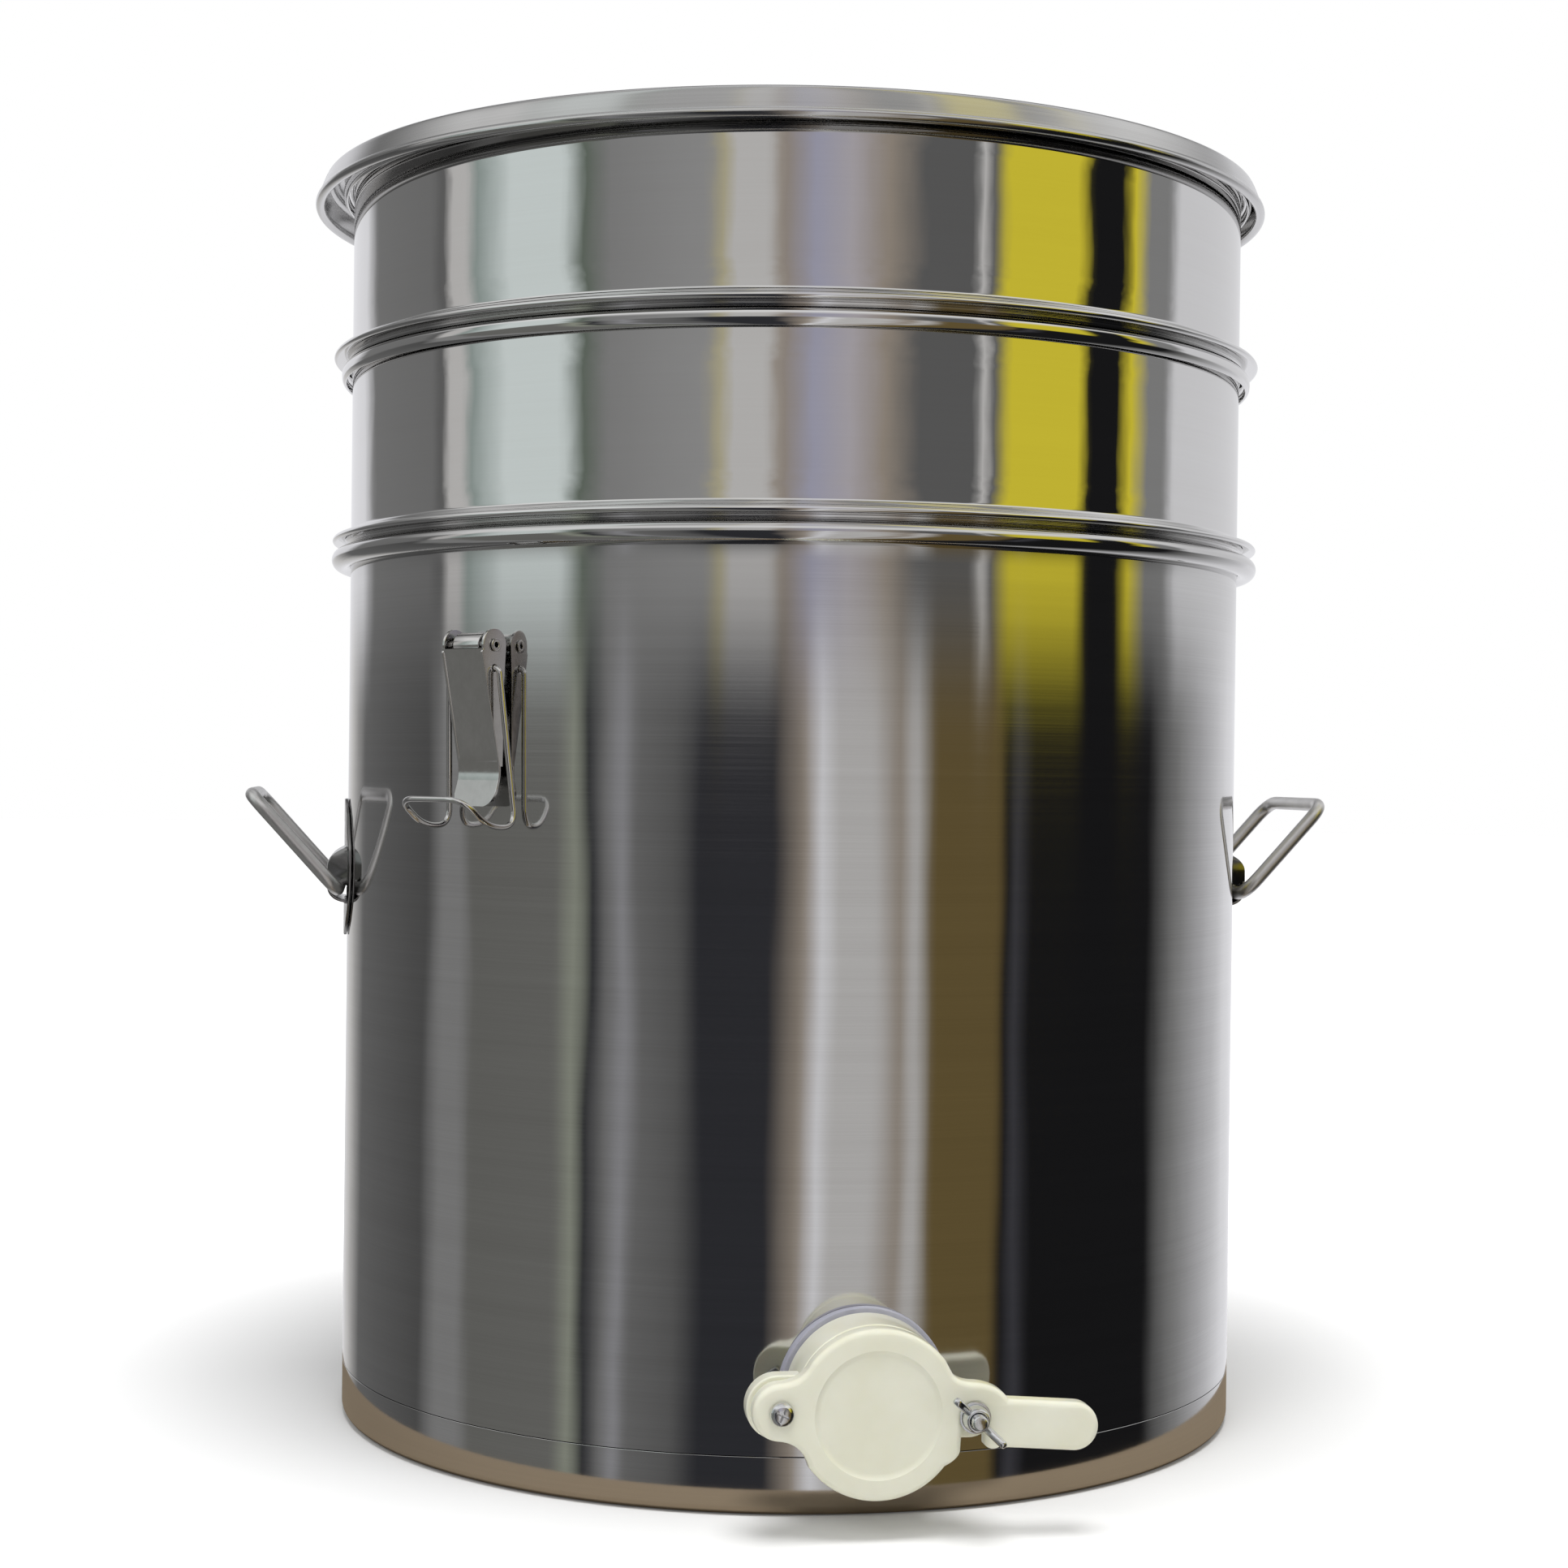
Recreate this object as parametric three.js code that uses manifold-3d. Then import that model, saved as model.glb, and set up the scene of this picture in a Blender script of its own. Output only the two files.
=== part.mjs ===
// Honey settling tank: a sheet-steel tank with a bottom gate, two stacked drop-in strainers and a lid.
// Units are millimetres, +Z is up, the origin is on the tank's axis at its flat base.
// The gate faces -Y, the carrying handles are at +X and -X.
// Pieces on the tank's wall are drawn as if they sat at -Y, then turned about Z to their azimuth.
import * as THREE from 'three';
import { mergeVertices } from 'three/addons/utils/BufferGeometryUtils.js';
import Module from 'manifold-3d';

const wasm = await Module();
wasm.setup();

// ---- Driving dimensions ----
const GAP = 0.3;                 // clearance between touching pieces
const ROUND = 40;                // facets round a large shell
const TANK_R = 200;              // outer radius of the tank wall
const SHEET = 1;                 // sheet thickness
const BOTTOM_FLANGE = 22.8;      // height of the bottom pan's upright flange
const BOTTOM_CORNER = 4;         // outer radius between floor and flange
const BEAD_R = 4.5;              // rolled bead round the tank's mouth
const BEAD_CENTRE_R = TANK_R + 3.9;
const BEAD_TOP = 381.6;          // height of the bead's crest

const RING_SEAT = BEAD_TOP + GAP;      // underside of the lower strainer's shoulder
const RING_PITCH = 81.1;               // height that each strainer adds to the stack
const RIM_DROP = 7.2;                  // down-turned, bowed skirt of a strainer's top rim
const RIM_R = TANK_R + 4.8;            // outer radius of that rim
const SHOULDER_R = TANK_R + 8.3;       // outer radius of a strainer's shoulder
const SPIGOT_R = TANK_R - 2.2;         // spigot that drops into the piece below
const SPIGOT_DROP = 9.6;
const LIP_R = 186;                     // inner radius of the lip that carries the mesh

const LID_SEAT = RING_SEAT + 2 * RING_PITCH;   // underside of the lid
const LID_SHIFT_X = -3.4;                      // the loose lid sits pushed to one side
const LID_SHEET = 0.9;
const LID_HEM_R = 2.15;
const LID_HEM_CENTRE_R = 211.5;
const LID_SKIRT_DROP = 9.5;                    // lid's underside down to the hem's centre
const LID_PLATEAU_R = 185;
const LID_PLATEAU_RISE = 3;
const LID_HANDLE_HALF = 50;      // rivets each side of the middle
const LID_HANDLE_RISE = 28;
const LID_ROD_R = 3.5;

const HANDLE_AZIMUTH = 90;       // degrees from the gate, one each side
const HANDLE_PIVOT_R = TANK_R + 3.9;
const HANDLE_PIVOT_Z = 232;
const HANDLE_ROD_R = 3;
const HANDLE_HALF_WIDTH = 37;
const HANDLE_REACH = 55;
const HANDLE_REST = 48;          // degrees above level

const LATCH_AZIMUTHS = { front: -46, back: 134 };
const LATCH_PIN_R = TANK_R + 7.6;
const LATCH_PIN_Z = 334;
const LATCH_HALF_WIDTH = 11.3;
const LATCH_SHEET = 1.2;
const BAIL_WIRE_R = 1.2;
const BAIL_DROP = 9.1;           // bail holes below the lever's pin

const GATE_Z = 48.3;             // height of the outlet's centre
const GATE_BORE_R = 20;
const GATE_SPIGOT_R = 23.5;
const GATE_BARREL_R = 31;
const GATE_DISC_R = 32.1;
const GATE_BACK = TANK_R + 4.3;  // back of the barrel's flange, measured from the tank's axis
const GATE_FACE = 226.5;         // front of the barrel
const COVER_BACK = GATE_FACE + GAP;
const COVER_FRONT = COVER_BACK + 9;
const HINGE = { x: -36.5, z: 0.6 };   // cover's hinge screw, from the outlet's centre
const CLAMP = { x: 36.2, z: -2.4 };   // clamp bolt, from the outlet's centre
const LUG_BACK = 218.5;
const COVER_DROP = 1.1;          // the loose cover hangs this much below the outlet's centre
const COVER_DROOP = 4;           // and its handle points this many degrees below level

// ---- Materials ----
const steel = (roughness) => new THREE.MeshStandardMaterial({ color: 0xc9cbcc, roughness, metalness: 1 });
const polishedSteel = steel(0.08);
const brushedSteel = steel(0.28);
const meshSteel = steel(0.45);
const zinc = new THREE.MeshStandardMaterial({ color: 0xb9bcbf, roughness: 0.22, metalness: 1 });
const creamPlastic = new THREE.MeshStandardMaterial({ color: 0xe4e3ce, roughness: 0.3, metalness: 0 });
const greyRubber = new THREE.MeshStandardMaterial({ color: 0xa9aab8, roughness: 0.75, metalness: 0 });

// ---- Solids ----
const rad = THREE.MathUtils.degToRad;
const point = (x, y) => new THREE.Vector2(x, y);

function signedVolume(position, index) {
  const a = new THREE.Vector3();
  const b = new THREE.Vector3();
  const c = new THREE.Vector3();
  let sum = 0;
  for (let i = 0; i < index.length; i += 3) {
    a.fromBufferAttribute(position, index[i]);
    b.fromBufferAttribute(position, index[i + 1]);
    c.fromBufferAttribute(position, index[i + 2]);
    sum += a.dot(b.cross(c)) / 6;
  }
  return sum;
}

// Merges a geometry's shared vertices, drops its empty triangles and turns its faces outwards.
function closed(geometry) {
  geometry.deleteAttribute('normal');
  geometry.deleteAttribute('uv');
  const merged = mergeVertices(geometry, 1e-4);
  const index = [];
  for (let i = 0; i < merged.index.count; i += 3) {
    const [a, b, c] = [0, 1, 2].map((k) => merged.index.getX(i + k));
    if (a !== b && b !== c && c !== a) index.push(a, b, c);
  }
  if (signedVolume(merged.attributes.position, index) < 0) index.reverse();
  merged.setIndex(index);
  return merged;
}

function toManifold(geometry) {
  const solid = closed(geometry);
  const vertProperties = new Float32Array(solid.attributes.position.array);
  const triVerts = new Uint32Array(solid.index.array);
  return new wasm.Manifold(new wasm.Mesh({ numProp: 3, vertProperties, triVerts }));
}

function fromManifold(manifold) {
  const { vertProperties, triVerts } = manifold.getMesh();
  const geometry = new THREE.BufferGeometry();
  geometry.setAttribute('position', new THREE.BufferAttribute(new Float32Array(vertProperties), 3));
  geometry.setIndex(Array.from(triVerts));
  return geometry;
}

const union = (...parts) => parts.map(toManifold).reduce((a, b) => a.add(b));
const cut = (body, ...tools) => fromManifold(tools.reduce((a, tool) => a.subtract(toManifold(tool)), body));

// Turns a closed (radius, height) outline about Z.
function turned(outline, segments = ROUND) {
  const loop = [...outline, outline[0]];
  return closed(new THREE.LatheGeometry(loop, segments).rotateX(Math.PI / 2));
}

// A cylinder or tube along the outward direction -Y, between two distances from the tank's axis.
function outwardRound(outerR, innerR, from, to, x, z, segments = 24) {
  const shape = new THREE.Shape().absarc(0, 0, outerR, 0, 2 * Math.PI, false);
  if (innerR > 0) shape.holes.push(new THREE.Path().absarc(0, 0, innerR, 0, 2 * Math.PI, true));
  return outwardPlate(shape, from, to, x, z, segments);
}

// An outline in (x, z) extruded along -Y, between two distances from the tank's axis.
function outwardPlate(shape, from, to, x = 0, z = 0, curveSegments = 12) {
  const options = { depth: to - from, bevelEnabled: false, curveSegments: curveSegments / 2 };
  return new THREE.ExtrudeGeometry(shape, options).rotateX(Math.PI / 2).translate(x, -from, z);
}

// An outline in (distance from the tank's axis, z) extruded along X from x0 to x1.
function sidePlate(shape, x0, x1, curveSegments = 6) {
  const geometry = new THREE.ExtrudeGeometry(shape, { depth: x1 - x0, bevelEnabled: false, curveSegments });
  const toSide = new THREE.Matrix4().set(0, 0, 1, x0, -1, 0, 0, 0, 0, 1, 0, 0, 0, 0, 0, 1);
  return geometry.applyMatrix4(toSide);
}

// A round wire along straight runs that meet in bends of the given radius.
function wire(corners, bend, radius, steps, sides = 8) {
  const path = new THREE.CurvePath();
  let start = corners[0];
  for (let i = 1; i < corners.length - 1; i += 1) {
    const back = corners[i - 1].clone().sub(corners[i]);
    const ahead = corners[i + 1].clone().sub(corners[i]);
    const reach = Math.min(bend, back.length() * 0.49, ahead.length() * 0.49);
    const enter = corners[i].clone().add(back.setLength(reach));
    const leave = corners[i].clone().add(ahead.setLength(reach));
    path.add(new THREE.LineCurve3(start, enter));
    path.add(new THREE.QuadraticBezierCurve3(enter, corners[i], leave));
    start = leave;
  }
  path.add(new THREE.LineCurve3(start, corners[corners.length - 1]));
  const section = new THREE.Shape().absarc(0, 0, radius, 0, 2 * Math.PI, false);
  return new THREE.ExtrudeGeometry(section, { steps, curveSegments: sides / 2, extrudePath: path });
}

function arcPoints(centreX, centreY, radius, fromDegrees, toDegrees, steps) {
  return Array.from({ length: steps + 1 }, (_, i) => {
    const angle = rad(fromDegrees + (toDegrees - fromDegrees) * i / steps);
    return point(centreX + radius * Math.cos(angle), centreY + radius * Math.sin(angle));
  });
}

const group = new THREE.Group();

function addNode(name, geometry, material, parent = group) {
  const mesh = new THREE.Mesh(closed(geometry), material);
  mesh.name = name;
  parent.add(mesh);
}

function wallGroup(azimuth) {
  const turnedGroup = new THREE.Group();
  turnedGroup.rotation.z = rad(azimuth);
  group.add(turnedGroup);
  return turnedGroup;
}

// ---- Tank ----
function tankWall() {
  const inner = TANK_R - SHEET;
  const beadZ = BEAD_TOP - BEAD_R;
  const shell = turned([
    point(inner, BOTTOM_FLANGE + GAP / 2),
    point(TANK_R, BOTTOM_FLANGE + GAP / 2),
    ...arcPoints(BEAD_CENTRE_R, beadZ, BEAD_R, -150, 150, 8),
    point(inner, beadZ + 1.4),
  ]);
  const outlet = outwardRound(GATE_SPIGOT_R + 0.5, 0, TANK_R - 20, TANK_R + 10, 0, GATE_Z, 32);
  return cut(toManifold(shell), outlet);
}

function tankBottom() {
  const corner = TANK_R - BOTTOM_CORNER;
  return turned([
    point(0, 0),
    ...arcPoints(corner, BOTTOM_CORNER, BOTTOM_CORNER, -90, 0, 3),
    point(TANK_R, BOTTOM_FLANGE - GAP / 2),
    point(TANK_R - SHEET, BOTTOM_FLANGE - GAP / 2),
    ...arcPoints(corner, BOTTOM_CORNER, BOTTOM_CORNER - SHEET, 0, -90, 2),
    point(0, SHEET),
  ]);
}

addNode('tank_wall', tankWall(), brushedSteel);
addNode('tank_bottom', tankBottom(), brushedSteel);

// ---- Strainers ----
// The foot rests on the piece below, the spigot drops inside it, the rim takes the piece above.
// A groove parts the foot from the rolled shoulder over it.
function strainerRing(seat) {
  const inner = TANK_R - SHEET;
  const rimTop = seat + RING_PITCH - GAP;
  const rimMiddle = rimTop - RIM_DROP / 2;
  return turned([
    point(LIP_R, seat - SPIGOT_DROP),
    point(SPIGOT_R, seat - SPIGOT_DROP),
    point(SPIGOT_R, seat),
    point(TANK_R + 3.5, seat),
    point(TANK_R + 1.4, seat + 0.9),
    point(TANK_R + 1.4, seat + 2.1),
    point(SHOULDER_R - 0.9, seat + 2.4),
    point(SHOULDER_R, seat + 3.6),
    point(SHOULDER_R - 0.9, seat + 5.2),
    point(TANK_R + 2.5, seat + 5.8),
    point(TANK_R, seat + 7.6),
    point(TANK_R, rimTop - 1.8),
    point(RIM_R - 2.2, rimTop - 1.8),
    point(RIM_R - SHEET, rimMiddle),
    point(RIM_R - 2.2, rimTop - RIM_DROP + 0.5),
    point(RIM_R - 1.5, rimTop - RIM_DROP),
    point(RIM_R - 0.3, rimMiddle - 2.2),
    point(RIM_R, rimMiddle),
    point(RIM_R - 0.3, rimMiddle + 2.2),
    point(RIM_R - 1.5, rimTop),
    point(inner + 0.6, rimTop),
    point(inner, rimTop - 0.6),
    point(inner, seat + 2.2),
    point(SPIGOT_R - SHEET, seat),
    point(SPIGOT_R - SHEET, seat - SPIGOT_DROP + SHEET),
    point(LIP_R, seat - SPIGOT_DROP + SHEET),
  ]);
}

const MESH_THICKNESS = 0.8;
const CLAMP_RING_THICKNESS = 1.2;

function flatRing(outerR, innerR, bottom, thickness) {
  return turned([
    point(innerR, bottom),
    point(outerR, bottom),
    point(outerR, bottom + thickness),
    point(innerR, bottom + thickness),
  ]);
}

function crossBars(bottom) {
  const length = 2 * (SPIGOT_R - 5);
  const bar = () => new THREE.BoxGeometry(length, 12, 1.5);
  const cross = union(bar(), bar().rotateZ(Math.PI / 2));
  return fromManifold(cross).translate(0, 0, bottom + 0.75);
}

for (const [level, name] of ['lower', 'upper'].entries()) {
  const seat = RING_SEAT + level * RING_PITCH;
  const lip = seat - SPIGOT_DROP;
  const meshBottom = lip + SHEET + GAP;
  const clampBottom = meshBottom + MESH_THICKNESS + GAP;
  addNode(`${name}_strainer_ring`, strainerRing(seat), polishedSteel);
  addNode(`${name}_strainer_mesh`, turned([
    point(0, meshBottom),
    point(SPIGOT_R - 2, meshBottom),
    point(SPIGOT_R - 2, meshBottom + MESH_THICKNESS),
    point(0, meshBottom + MESH_THICKNESS),
  ]), meshSteel);
  const clampRing = flatRing(SPIGOT_R - 1.6, LIP_R + 0.5, clampBottom, CLAMP_RING_THICKNESS);
  addNode(`${name}_strainer_clamp_ring`, clampRing, brushedSteel);
  addNode(`${name}_strainer_cross`, crossBars(lip - GAP - 1.5), brushedSteel);
}

// ---- Lid ----
const lid = new THREE.Group();
lid.position.x = LID_SHIFT_X;
group.add(lid);
const LID_TOP = LID_SEAT + LID_PLATEAU_RISE + LID_SHEET;
const RIVET_R = 2.4;

function lidPan() {
  const z = LID_SEAT;
  const hemZ = z - LID_SKIRT_DROP;
  const pan = turned([
    point(0, z + LID_PLATEAU_RISE),
    point(LID_PLATEAU_R, z + LID_PLATEAU_RISE),
    point(LID_PLATEAU_R + 4, z),
    point(203.6, z),
    point(206, z + 1.2),
    point(208.1, z + 0.2),
    point(208.9, z - 1.2),
    point(211.2, hemZ + 2.1),
    ...arcPoints(LID_HEM_CENTRE_R, hemZ, LID_HEM_R, 140, 420, 7),
    point(209.9, z - 1),
    point(208.9, z + 1),
    point(206.6, z + 2.1),
    point(203.2, z + LID_SHEET),
    point(LID_PLATEAU_R + 4.3, z + LID_SHEET),
    point(LID_PLATEAU_R + 0.3, LID_TOP),
    point(0, LID_TOP),
  ]);
  const hole = (side) => new THREE.CylinderGeometry(RIVET_R + GAP, RIVET_R + GAP, 20, 16)
    .rotateX(Math.PI / 2).translate(side * LID_HANDLE_HALF, 0, LID_TOP);
  return cut(toManifold(pan), hole(-1), hole(1));
}

function lidHandle() {
  const foot = LID_TOP + GAP;
  const rise = LID_TOP + LID_HANDLE_RISE;
  const bow = wire([
    new THREE.Vector3(-LID_HANDLE_HALF + 9, 0, foot + 1),
    new THREE.Vector3(-LID_HANDLE_HALF + 13, 0, rise),
    new THREE.Vector3(LID_HANDLE_HALF - 13, 0, rise),
    new THREE.Vector3(LID_HANDLE_HALF - 9, 0, foot + 1),
  ], 12, LID_ROD_R, 24, 6);
  const pad = (side) => new THREE.CylinderGeometry(14, 14, 2, 24)
    .rotateX(Math.PI / 2).translate(side * LID_HANDLE_HALF, 0, foot + 1);
  const hole = (side) => new THREE.CylinderGeometry(RIVET_R + GAP, RIVET_R + GAP, 60, 16)
    .rotateX(Math.PI / 2).translate(side * LID_HANDLE_HALF, 0, foot);
  const below = new THREE.BoxGeometry(200, 60, 20).translate(0, 0, foot - 10);
  return cut(union(bow, pad(-1), pad(1)), below, hole(-1), hole(1));
}

function lidRivet() {
  const top = LID_TOP + 2 + 2 * GAP;
  const bottom = LID_TOP - LID_SHEET - GAP;
  return turned([
    point(0, bottom - 1.6),
    point(4.2, bottom - 1.2),
    point(4.2, bottom),
    point(RIVET_R, bottom),
    point(RIVET_R, top),
    point(4.2, top),
    point(3.4, top + 1.4),
    point(0, top + 2),
  ], 16);
}

addNode('lid_pan', lidPan(), brushedSteel, lid);
addNode('lid_handle', lidHandle(), polishedSteel, lid);
addNode('lid_rivet_left', lidRivet().translate(-LID_HANDLE_HALF, 0, 0), polishedSteel, lid);
addNode('lid_rivet_right', lidRivet().translate(LID_HANDLE_HALF, 0, 0), polishedSteel, lid);

// ---- Carrying handles ----
const BRACKET_SHEET = 1.2;
const BRACKET_HALF_HEIGHT = 30;
const BRACKET_MIDDLE_Z = HANDLE_PIVOT_Z + 9;
const BRACKET_HALF_WIDTH = 32;
const TUNNEL_HALF_WIDTH = 24;
const TUNNEL_FRONT = HANDLE_PIVOT_R + HANDLE_ROD_R + 0.4;

function bracketOutline() {
  const shape = new THREE.Shape();
  shape.moveTo(-12, -BRACKET_HALF_HEIGHT);
  shape.lineTo(12, -BRACKET_HALF_HEIGHT);
  shape.quadraticCurveTo(BRACKET_HALF_WIDTH, -20, BRACKET_HALF_WIDTH, 0);
  shape.quadraticCurveTo(BRACKET_HALF_WIDTH, 20, 12, BRACKET_HALF_HEIGHT);
  shape.lineTo(-12, BRACKET_HALF_HEIGHT);
  shape.quadraticCurveTo(-BRACKET_HALF_WIDTH, 20, -BRACKET_HALF_WIDTH, 0);
  shape.quadraticCurveTo(-BRACKET_HALF_WIDTH, -20, -12, -BRACKET_HALF_HEIGHT);
  return shape;
}

// The strap's hump, from the wall out; growing it by the sheet gives the outside of the pressing.
// Its sides are closed above the doorways that let the rod out.
function humpProfile(grow) {
  const bottom = HANDLE_PIVOT_Z - HANDLE_ROD_R - 0.5 - grow;
  const top = HANDLE_PIVOT_Z + 14 + grow;
  const front = TUNNEL_FRONT + grow;
  const shape = new THREE.Shape();
  shape.moveTo(TANK_R - 12, bottom - 1.5);
  shape.lineTo(TANK_R + 1.5, bottom - 1.5);
  shape.quadraticCurveTo(front, bottom - 0.5, front, bottom + 5);
  shape.lineTo(front, top - 4);
  shape.quadraticCurveTo(front - 0.3, top, TANK_R + 1.5, top + 2.5);
  shape.lineTo(TANK_R - 12, top + 2.5);
  return shape;
}

function handleBracket() {
  const plate = toManifold(outwardPlate(bracketOutline(), TANK_R - 15, TANK_R + 6, 0, BRACKET_MIDDLE_Z));
  const outerR = TANK_R + GAP + BRACKET_SHEET;
  const drum = (radius) => toManifold(
    new THREE.CylinderGeometry(radius, radius, 200, ROUND).rotateX(Math.PI / 2).translate(0, 0, 240));
  const hump = toManifold(sidePlate(humpProfile(BRACKET_SHEET), -TUNNEL_HALF_WIDTH, TUNNEL_HALF_WIDTH));
  const inner = TUNNEL_HALF_WIDTH - BRACKET_SHEET;
  const hollow = toManifold(sidePlate(humpProfile(0), -inner, inner));
  const doorwayTop = toManifold(new THREE.BoxGeometry(120, 60, 60)
    .translate(0, -HANDLE_PIVOT_R, HANDLE_PIVOT_Z + HANDLE_ROD_R + 1.6 - 30));
  const doorways = toManifold(sidePlate(humpProfile(0), -60, 60)).intersect(doorwayTop);
  const pressed = plate.intersect(drum(outerR)).add(hump).subtract(hollow).subtract(doorways);
  return fromManifold(pressed.subtract(drum(TANK_R + GAP)));
}

// Handle local axes: x along the pivot, u out along the loop, from the middle of the pivot rod.
function carryingHandle() {
  const u = new THREE.Vector3(0, -Math.cos(rad(HANDLE_REST)), Math.sin(rad(HANDLE_REST)));
  const pivot = new THREE.Vector3(0, -HANDLE_PIVOT_R, HANDLE_PIVOT_Z);
  const at = (x, reach) => pivot.clone().addScaledVector(u, reach).setX(x);
  const corners = [
    at(GAP, 0),
    at(HANDLE_HALF_WIDTH, 0),
    at(HANDLE_HALF_WIDTH, HANDLE_REACH),
    at(-HANDLE_HALF_WIDTH, HANDLE_REACH),
    at(-HANDLE_HALF_WIDTH, 0),
    at(-GAP, 0),
  ];
  return wire(corners, 10, HANDLE_ROD_R, 44, 6);
}

for (const [name, side] of [['left', -1], ['right', 1]]) {
  const wall = wallGroup(side * HANDLE_AZIMUTH);
  addNode(`handle_bracket_${name}`, handleBracket(), polishedSteel, wall);
  addNode(`handle_${name}`, carryingHandle(), brushedSteel, wall);
}

// ---- Draw latches ----
const KNUCKLE_R = 5;
const KNUCKLE_HALF_WIDTH = 7;
const LATCH_PIN_RADIUS = 1.9;
const EAR_R = 6.5;
const LEVER_FRONT_TOP = { r: 214.8, z: 331 };
const LEVER_FRONT_BOTTOM = { r: 203.9, z: 286 };
const LEVER_TAB_END = { r: 208.2, z: 270.4 };

function latchBase() {
  const back = TANK_R + GAP + 0.2;
  const shape = new THREE.Shape();
  shape.moveTo(back, LATCH_PIN_Z - 34);
  shape.lineTo(back + LATCH_SHEET, LATCH_PIN_Z - 34);
  shape.lineTo(back + LATCH_SHEET, LATCH_PIN_Z - 8);
  shape.absarc(LATCH_PIN_R, LATCH_PIN_Z, KNUCKLE_R, rad(-125), rad(125), false);
  shape.lineTo(back, LATCH_PIN_Z + 4);
  shape.holes.push(new THREE.Path().absarc(
    LATCH_PIN_R, LATCH_PIN_Z, LATCH_PIN_RADIUS + GAP, 0, 2 * Math.PI, true));
  return sidePlate(shape, -KNUCKLE_HALF_WIDTH, KNUCKLE_HALF_WIDTH, 12);
}

// A hollow rivet with a flared head outside each of the lever's ears.
function latchPin() {
  const half = LATCH_HALF_WIDTH + GAP + 0.7;
  const head = LATCH_HALF_WIDTH + GAP;
  const outline = [
    point(1.1, -half),
    point(2.6, -half),
    point(2.6, -head),
    point(LATCH_PIN_RADIUS, -head),
    point(LATCH_PIN_RADIUS, head),
    point(2.6, head),
    point(2.6, half),
    point(1.1, half),
  ];
  return turned(outline, 16).rotateY(Math.PI / 2).translate(0, -LATCH_PIN_R, LATCH_PIN_Z);
}

function leverEar() {
  const shape = new THREE.Shape();
  shape.moveTo(LEVER_FRONT_BOTTOM.r, LEVER_FRONT_BOTTOM.z);
  shape.lineTo(LEVER_FRONT_TOP.r, LEVER_FRONT_TOP.z);
  shape.absarc(LATCH_PIN_R, LATCH_PIN_Z, EAR_R, rad(-15), rad(185), false);
  shape.lineTo(TANK_R + 1.9, LATCH_PIN_Z - 12);
  shape.lineTo(LEVER_FRONT_BOTTOM.r - LATCH_SHEET - 0.3, LEVER_FRONT_BOTTOM.z);
  const pinHole = new THREE.Path().absarc(
    LATCH_PIN_R, LATCH_PIN_Z, LATCH_PIN_RADIUS + GAP, 0, 2 * Math.PI, true);
  const bailHole = new THREE.Path().absarc(
    LATCH_PIN_R, LATCH_PIN_Z - BAIL_DROP, BAIL_WIRE_R + GAP, 0, 2 * Math.PI, true);
  shape.holes.push(pinHole, bailHole);
  return shape;
}

function latchLever() {
  const strip = new THREE.Shape();
  strip.moveTo(LEVER_FRONT_TOP.r, LEVER_FRONT_TOP.z);
  strip.lineTo(LEVER_FRONT_BOTTOM.r, LEVER_FRONT_BOTTOM.z);
  strip.lineTo(LEVER_TAB_END.r, LEVER_TAB_END.z);
  strip.lineTo(LEVER_TAB_END.r - LATCH_SHEET, LEVER_TAB_END.z);
  strip.lineTo(LEVER_FRONT_BOTTOM.r - LATCH_SHEET, LEVER_FRONT_BOTTOM.z);
  strip.lineTo(LEVER_FRONT_TOP.r - LATCH_SHEET, LEVER_FRONT_TOP.z);
  const half = LATCH_HALF_WIDTH;
  const front = sidePlate(strip, -half, half);
  const ears = [-1, 1].map((side) => {
    const x = side * (half - LATCH_SHEET / 2);
    return sidePlate(leverEar(), x - LATCH_SHEET / 2, x + LATCH_SHEET / 2, 10);
  });
  const window = new THREE.Shape();
  window.moveTo(-half - 1, LEVER_TAB_END.z + 6);
  window.quadraticCurveTo(-half - 0.01, LEVER_TAB_END.z, -half + 5, LEVER_TAB_END.z - 0.2);
  window.lineTo(-half - 1, LEVER_TAB_END.z - 0.2);
  const corner = outwardPlate(window, TANK_R, TANK_R + 15);
  const mirrored = outwardPlate(window, TANK_R, TANK_R + 15).scale(-1, 1, 1);
  return cut(union(front, ...ears), corner, mirrored);
}

// The bail hangs from the ears, bends outwards at the bottom and comes up to its hooking bar.
function latchBail() {
  const top = LATCH_PIN_Z - BAIL_DROP;
  const side = (sign) => [
    new THREE.Vector3(sign * (LATCH_HALF_WIDTH - 2.4), -LATCH_PIN_R, top),
    new THREE.Vector3(sign * (LATCH_HALF_WIDTH + 2.4), -LATCH_PIN_R, top),
    new THREE.Vector3(sign * 18, -(TANK_R + 2.2), 262.4),
    new THREE.Vector3(sign * 18, -(TANK_R + 17), 262.4),
    new THREE.Vector3(sign * 17.4, -(TANK_R + 31), 273.2),
  ];
  return wire([...side(-1), ...side(1).reverse()], 9, BAIL_WIRE_R, 56, 4);
}

for (const [name, azimuth] of Object.entries(LATCH_AZIMUTHS)) {
  const wall = wallGroup(azimuth);
  addNode(`latch_${name}_base`, latchBase(), polishedSteel, wall);
  addNode(`latch_${name}_pin`, latchPin(), polishedSteel, wall);
  addNode(`latch_${name}_lever`, latchLever(), polishedSteel, wall);
  addNode(`latch_${name}_bail`, latchBail(), polishedSteel, wall);
}

// ---- Honey gate ----
const drumAt = (radius) => new THREE.CylinderGeometry(radius, radius, 140, ROUND)
  .rotateX(Math.PI / 2).translate(0, 0, GATE_Z);

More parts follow.
